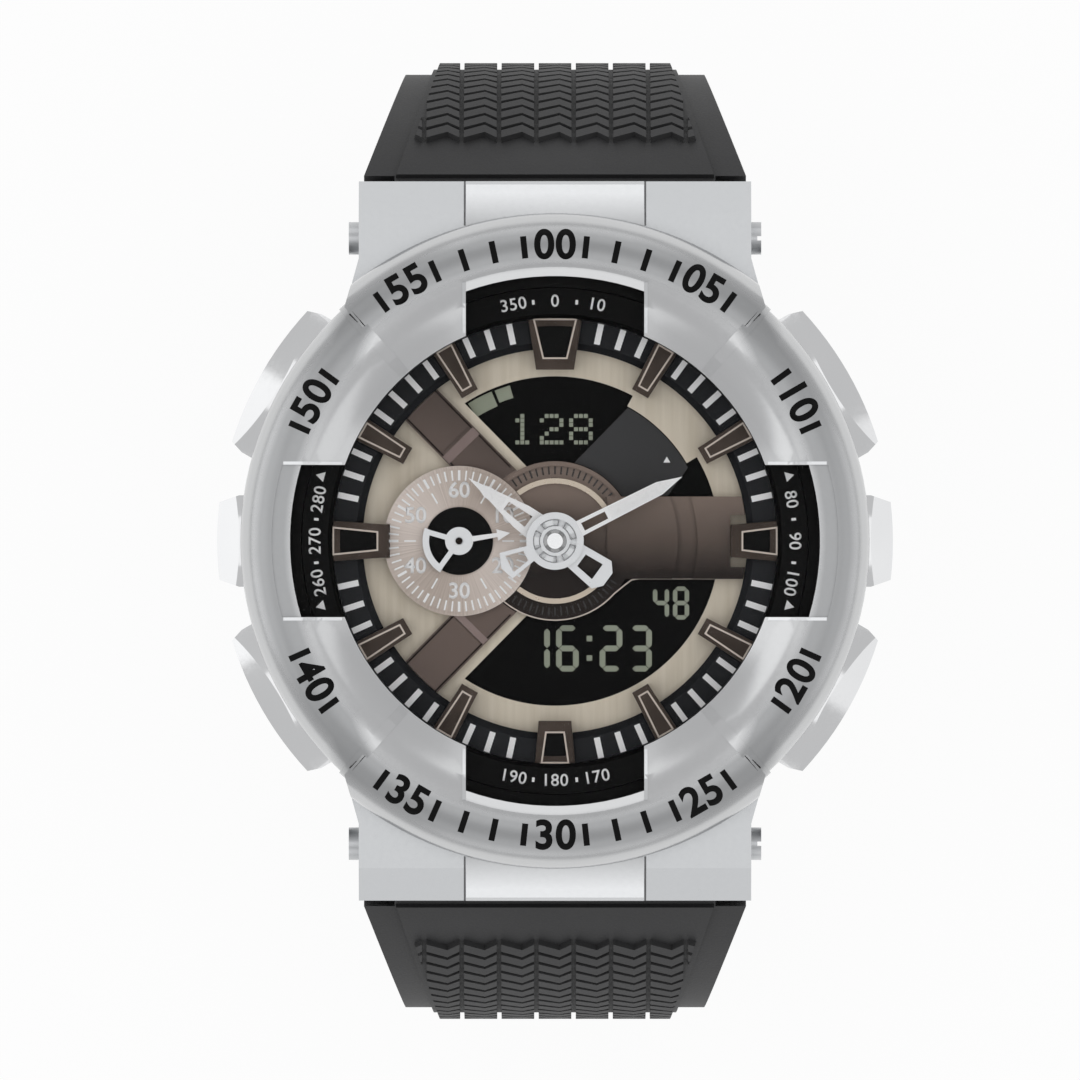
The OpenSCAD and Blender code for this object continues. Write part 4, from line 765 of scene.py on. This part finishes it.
# Start, outer width and inner width of the four wide indexes
indexPlan = {12: (13.1, 4.4, 2.9), 3: (13.45, 3.2, 2.5), 6: (13.75, 3.2, 2.5), 9: (12.7, 3.2, 2.5)}
indexHighlights = bmesh.new()
for hour in range(1, 13):
    start, outWidth, inWidth = indexPlan.get(hour, indexHighlightMarks["plain"])
    edge = indexHighlightMarks["wideEdge" if hour in indexPlan else "edge"]
    front, reach = start + edge * indexHighlightMarks["inner"], indexHighlightMarks["reach"]
    corners = [(front, -inWidth / 2 + edge), (reach, -outWidth / 2 + edge),
               (reach, outWidth / 2 - edge), (front, inWidth / 2 - edge)]
    join(indexHighlights, turned(flatShape(inMm(corners), rim=indexHighlightMarks["rim"]), 90 - 30 * hour))
settle(indexHighlights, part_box("hour_indexes")[1].z, 0.0, indexHighlightMarks["thickness"])
keep(indexHighlights, "index_trim", "edge", "case", "rose_champagne")
print("index trim done")

# Ring and slot outlines on the hub of the minute hand
hubMarks = {"ring": 0.86 * mm, "ringWidth": 0.07 * mm, "outer": 1.68 * mm, "inner": 1.14 * mm, "slots": 5,
            "from": 6, "to": 60, "rim": 0.08 * mm, "thickness": 0.06 * mm, "merge": 0.0005 * mm}
looks["relief"] = finish("handRelief", (0.16, 0.165, 0.17), (0.26, 0.265, 0.27), 1.0, 0.25)
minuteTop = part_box("minute_hand")[1].z
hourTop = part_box("hour_hand")[1].z
hub = bmesh.new()
join(hub, strip(arcPoints(hubMarks["ring"], 0, 360, 60), hubMarks["ringWidth"]))
for slot in range(hubMarks["slots"]):
    start, end = (slot * 360 / hubMarks["slots"] + hubMarks[side] for side in ("from", "to"))
    outline = arcPoints(hubMarks["outer"], start, end, 14) + arcPoints(hubMarks["inner"], end, start, 14)
    join(hub, flatShape(outline, rim=hubMarks["rim"]))
bmesh.ops.remove_doubles(hub, verts=hub.verts, dist=hubMarks["merge"])
settle(hub, minuteTop, 0.0, hubMarks["thickness"])
keep(hub, "hub_rings", "relief", "minute", "white_hand")

# Raised ridge along each blade, as the hull of its foot and its crest; plain numbers are mm
ridgeMarks = {"half": 0.45, "point": 1.2, "crest": 0.09, "crestIn": 0.4, "crestBack": 1.3}
looks["blade"] = finish("bladeRidge", (0.93, 0.93, 0.93), (1.0, 1.0, 1.0), 0.0, 0.28)
for name, at, start, end, top, body in (
        ("minute_ridge", handAngles["minute"], 4.7, 10.2, minuteTop, "minute"),
        ("hour_ridge", handAngles["hour"], 4.9, 7.6, hourTop, "hour")):
    half, shoulder = ridgeMarks["half"], end - ridgeMarks["point"]
    ridge = bmesh.new()
    foot = [(start, -half), (shoulder, -half), (end, 0), (shoulder, half), (start, half)]
    crest = [(start + ridgeMarks["crestIn"], 0), (end - ridgeMarks["crestBack"], 0)]
    for corners, height in ((foot, 0), (crest, ridgeMarks["crest"])):
        for x, y in corners:
            ridge.verts.new((x, y, height))
    bmesh.ops.convex_hull(ridge, input=ridge.verts)
    bmesh.ops.scale(ridge, vec=(mm, mm, mm), verts=ridge.verts)
    bmesh.ops.recalc_face_normals(ridge, faces=ridge.faces)
    turned(ridge, 90 - at)
    bmesh.ops.translate(ridge, vec=(0, 0, top), verts=ridge.verts)
    keep(ridge, name, "blade", body, "white_hand")

# Dark cap on the axle of the small dial's hand
axleMarks = {"foot": 0.27 * mm, "top": 0.2 * mm, "height": 0.08 * mm}
axle = bmesh.new()
bmesh.ops.create_cone(axle, cap_ends=True, segments=24, radius1=axleMarks["foot"],
                      radius2=axleMarks["top"], depth=axleMarks["height"])
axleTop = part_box("seconds_arbor")[1].z
bmesh.ops.translate(axle, vec=(subDialAt[0], 0, axleTop + axleMarks["height"] / 2), verts=axle.verts)
keep(axle, "seconds_axle_cap", "dark", "seconds", "dark_ring")
print("hand detail done")

# Polished rims beside the four windows of the bezel; plain numbers are mm
rimMarks = {"start": 17.25, "offset": 0.14, "width": 0.24 * mm, "steps": 12, "sink": 0.02 * mm,
            "thickness": 0.1 * mm, "slopeFrom": 17.05, "low": 14.7, "rise": 1.35}
looks["rim"] = finish("polishedRim", (0.62, 0.63, 0.64), (0.72, 0.73, 0.74), 1.0, 0.14)
rims = bmesh.new()
for turn, half, outer in ((0, 6.8, 20.85), (180, 6.8, 20.85), (90, 5.8, 21.5), (270, 5.8, 21.5)):
    start = math.sqrt(rimMarks["start"] ** 2 - half ** 2)
    end = math.sqrt(outer ** 2 - half ** 2)
    for side in (-1, 1):
        points = [(side * (half + rimMarks["offset"]), start + (end - start) * i / rimMarks["steps"])
                  for i in range(rimMarks["steps"] + 1)]
        join(rims, turned(strip(inMm(points), rimMarks["width"]), turn))


def rimHeight(point):
    radius = math.hypot(point.x, point.y)
    chamfer = bezelSide(point)["chamfer"] * mm
    if radius < chamfer:
        slope = (radius - rimMarks["slopeFrom"] * mm) / (chamfer - rimMarks["slopeFrom"] * mm)
        return backAt + (rimMarks["low"] + rimMarks["rise"] * slope) * mm
    return bezelHeight(point)


settle(rims, rimHeight, -rimMarks["sink"], rimMarks["thickness"])
keep(rims, "window_rims", "rim", "case", "plated_case")
print("window rims done")

# Painted shade: dark lines where the raised lug panels meet the lower corners, standing for the shade at that
# step; plain numbers are mm
lugMarks = {"across": 6.9, "from": 24.1, "step": 0.34, "steps": 10, "width": 0.14 * mm,
            "thickness": 0.06 * mm, "height": 10.6, "slopeFrom": 25, "slope": 0.56}
# This dark look is a painted shade
looks["groove"] = finish("platedGroove", (0.10, 0.10, 0.10), (0.16, 0.16, 0.165), 1.0, 0.35)
lugShadeLines = bmesh.new()
for side in (-1, 1):
    for end in (-1, 1):
        points = [(side * lugMarks["across"], end * (lugMarks["from"] + lugMarks["step"] * i))
                  for i in range(lugMarks["steps"] + 1)]
        join(lugShadeLines, strip(inMm(points), lugMarks["width"]))


def lugHeight(point):
    beyond = max(0, abs(point.y) / mm - lugMarks["slopeFrom"])
    return backAt + (lugMarks["height"] - beyond * lugMarks["slope"]) * mm


settle(lugShadeLines, lugHeight, 0.0, lugMarks["thickness"])
keep(lugShadeLines, "lug_grooves", "groove", "case", "plated_case")
print("lug grooves done")

# Stage, lamps and camera
floor = bmesh.new()
bmesh.ops.create_grid(floor, x_segments=1, y_segments=1, size=4)
floorMesh = bpy.data.meshes.new("floor")
floor.to_mesh(floorMesh)
floor.free()
floorPiece = bpy.data.objects.new("floor", floorMesh)
bpy.context.scene.collection.objects.link(floorPiece)
floorPiece.location.z = -0.0002
floorLook = Look("paleFloor", (0.9, 0.9, 0.9), 0.0, 0.8, Specular_IOR_Level=0.0)
rays = floorLook.node("ShaderNodeLightPath", {}).socket.node
cameraRay, glossyRay, throughRay = (Sum(floorLook, rays.outputs["Is " + kind + " Ray"])
                                    for kind in ("Camera", "Glossy", "Transmission"))
seen = (cameraRay + glossyRay + throughRay) * 0.92
white = floorLook.node("ShaderNodeEmission", {}, Color=(1, 1, 1, 1))
shaded = floorLook.node("ShaderNodeMixShader", {}, seen, Sum(floorLook, floorLook.shader.outputs[0]), white)
floorLook.tree.links.new(shaded.socket, floorLook.tree.nodes["Material Output"].inputs["Surface"])
floorMesh.materials.append(floorLook.material)

world = bpy.data.worlds.new("studio")
bpy.context.scene.world = world
world.use_nodes = True
sky = world.node_tree.nodes["Background"]
sky.inputs["Color"].default_value = (0.68, 0.68, 0.685, 1)
sky.inputs["Strength"].default_value = 1.0

# name, place, width, depth, power
lamps = [("topLamp", (0.0, 0.0, 1.5), 1.6, 0.7, 1.8), ("leftLamp", (-1.3, 0.1, 0.85), 1.5, 1.4, 3.8),
         ("rightLamp", (1.3, -0.1, 0.85), 1.5, 1.4, 2.6), ("farLamp", (0.0, 1.3, 0.85), 1.2, 1.1, 2.0),
         ("nearLamp", (0.0, -1.3, 0.85), 1.2, 1.1, 1.7)]
for name, at, width, depth, power in lamps:
    light = bpy.data.lights.new(name, "AREA")
    light.shape = "RECTANGLE"
    light.size = width
    light.size_y = depth
    light.energy = power
    lamp = bpy.data.objects.new(name, light)
    lamp.location = at
    aim = Vector((0, 0, 0.05)) - Vector(at)
    lamp.rotation_euler = aim.to_track_quat("-Z", "Y").to_euler()
    bpy.context.scene.collection.objects.link(lamp)

# The photograph's frame is 1080 pixels wide, and the dial's middle is at 555, 541 in it
shot = {"distance": 2.0, "plane": 0.0634, "frame": 1080 * 0.0000765}
cameraData = bpy.data.cameras.new("camera")
cameraData.lens = cameraData.sensor_width * shot["distance"] / shot["frame"]
cameraData.shift_x = -15 / 1080
cameraData.shift_y = 1 / 1080
camera = bpy.data.objects.new("camera", cameraData)
camera.location = (0, 0, shot["plane"] + shot["distance"])
bpy.context.scene.collection.objects.link(camera)
bpy.context.scene.camera = camera
bpy.context.scene.view_settings.view_transform = "Standard"

print("stage set")
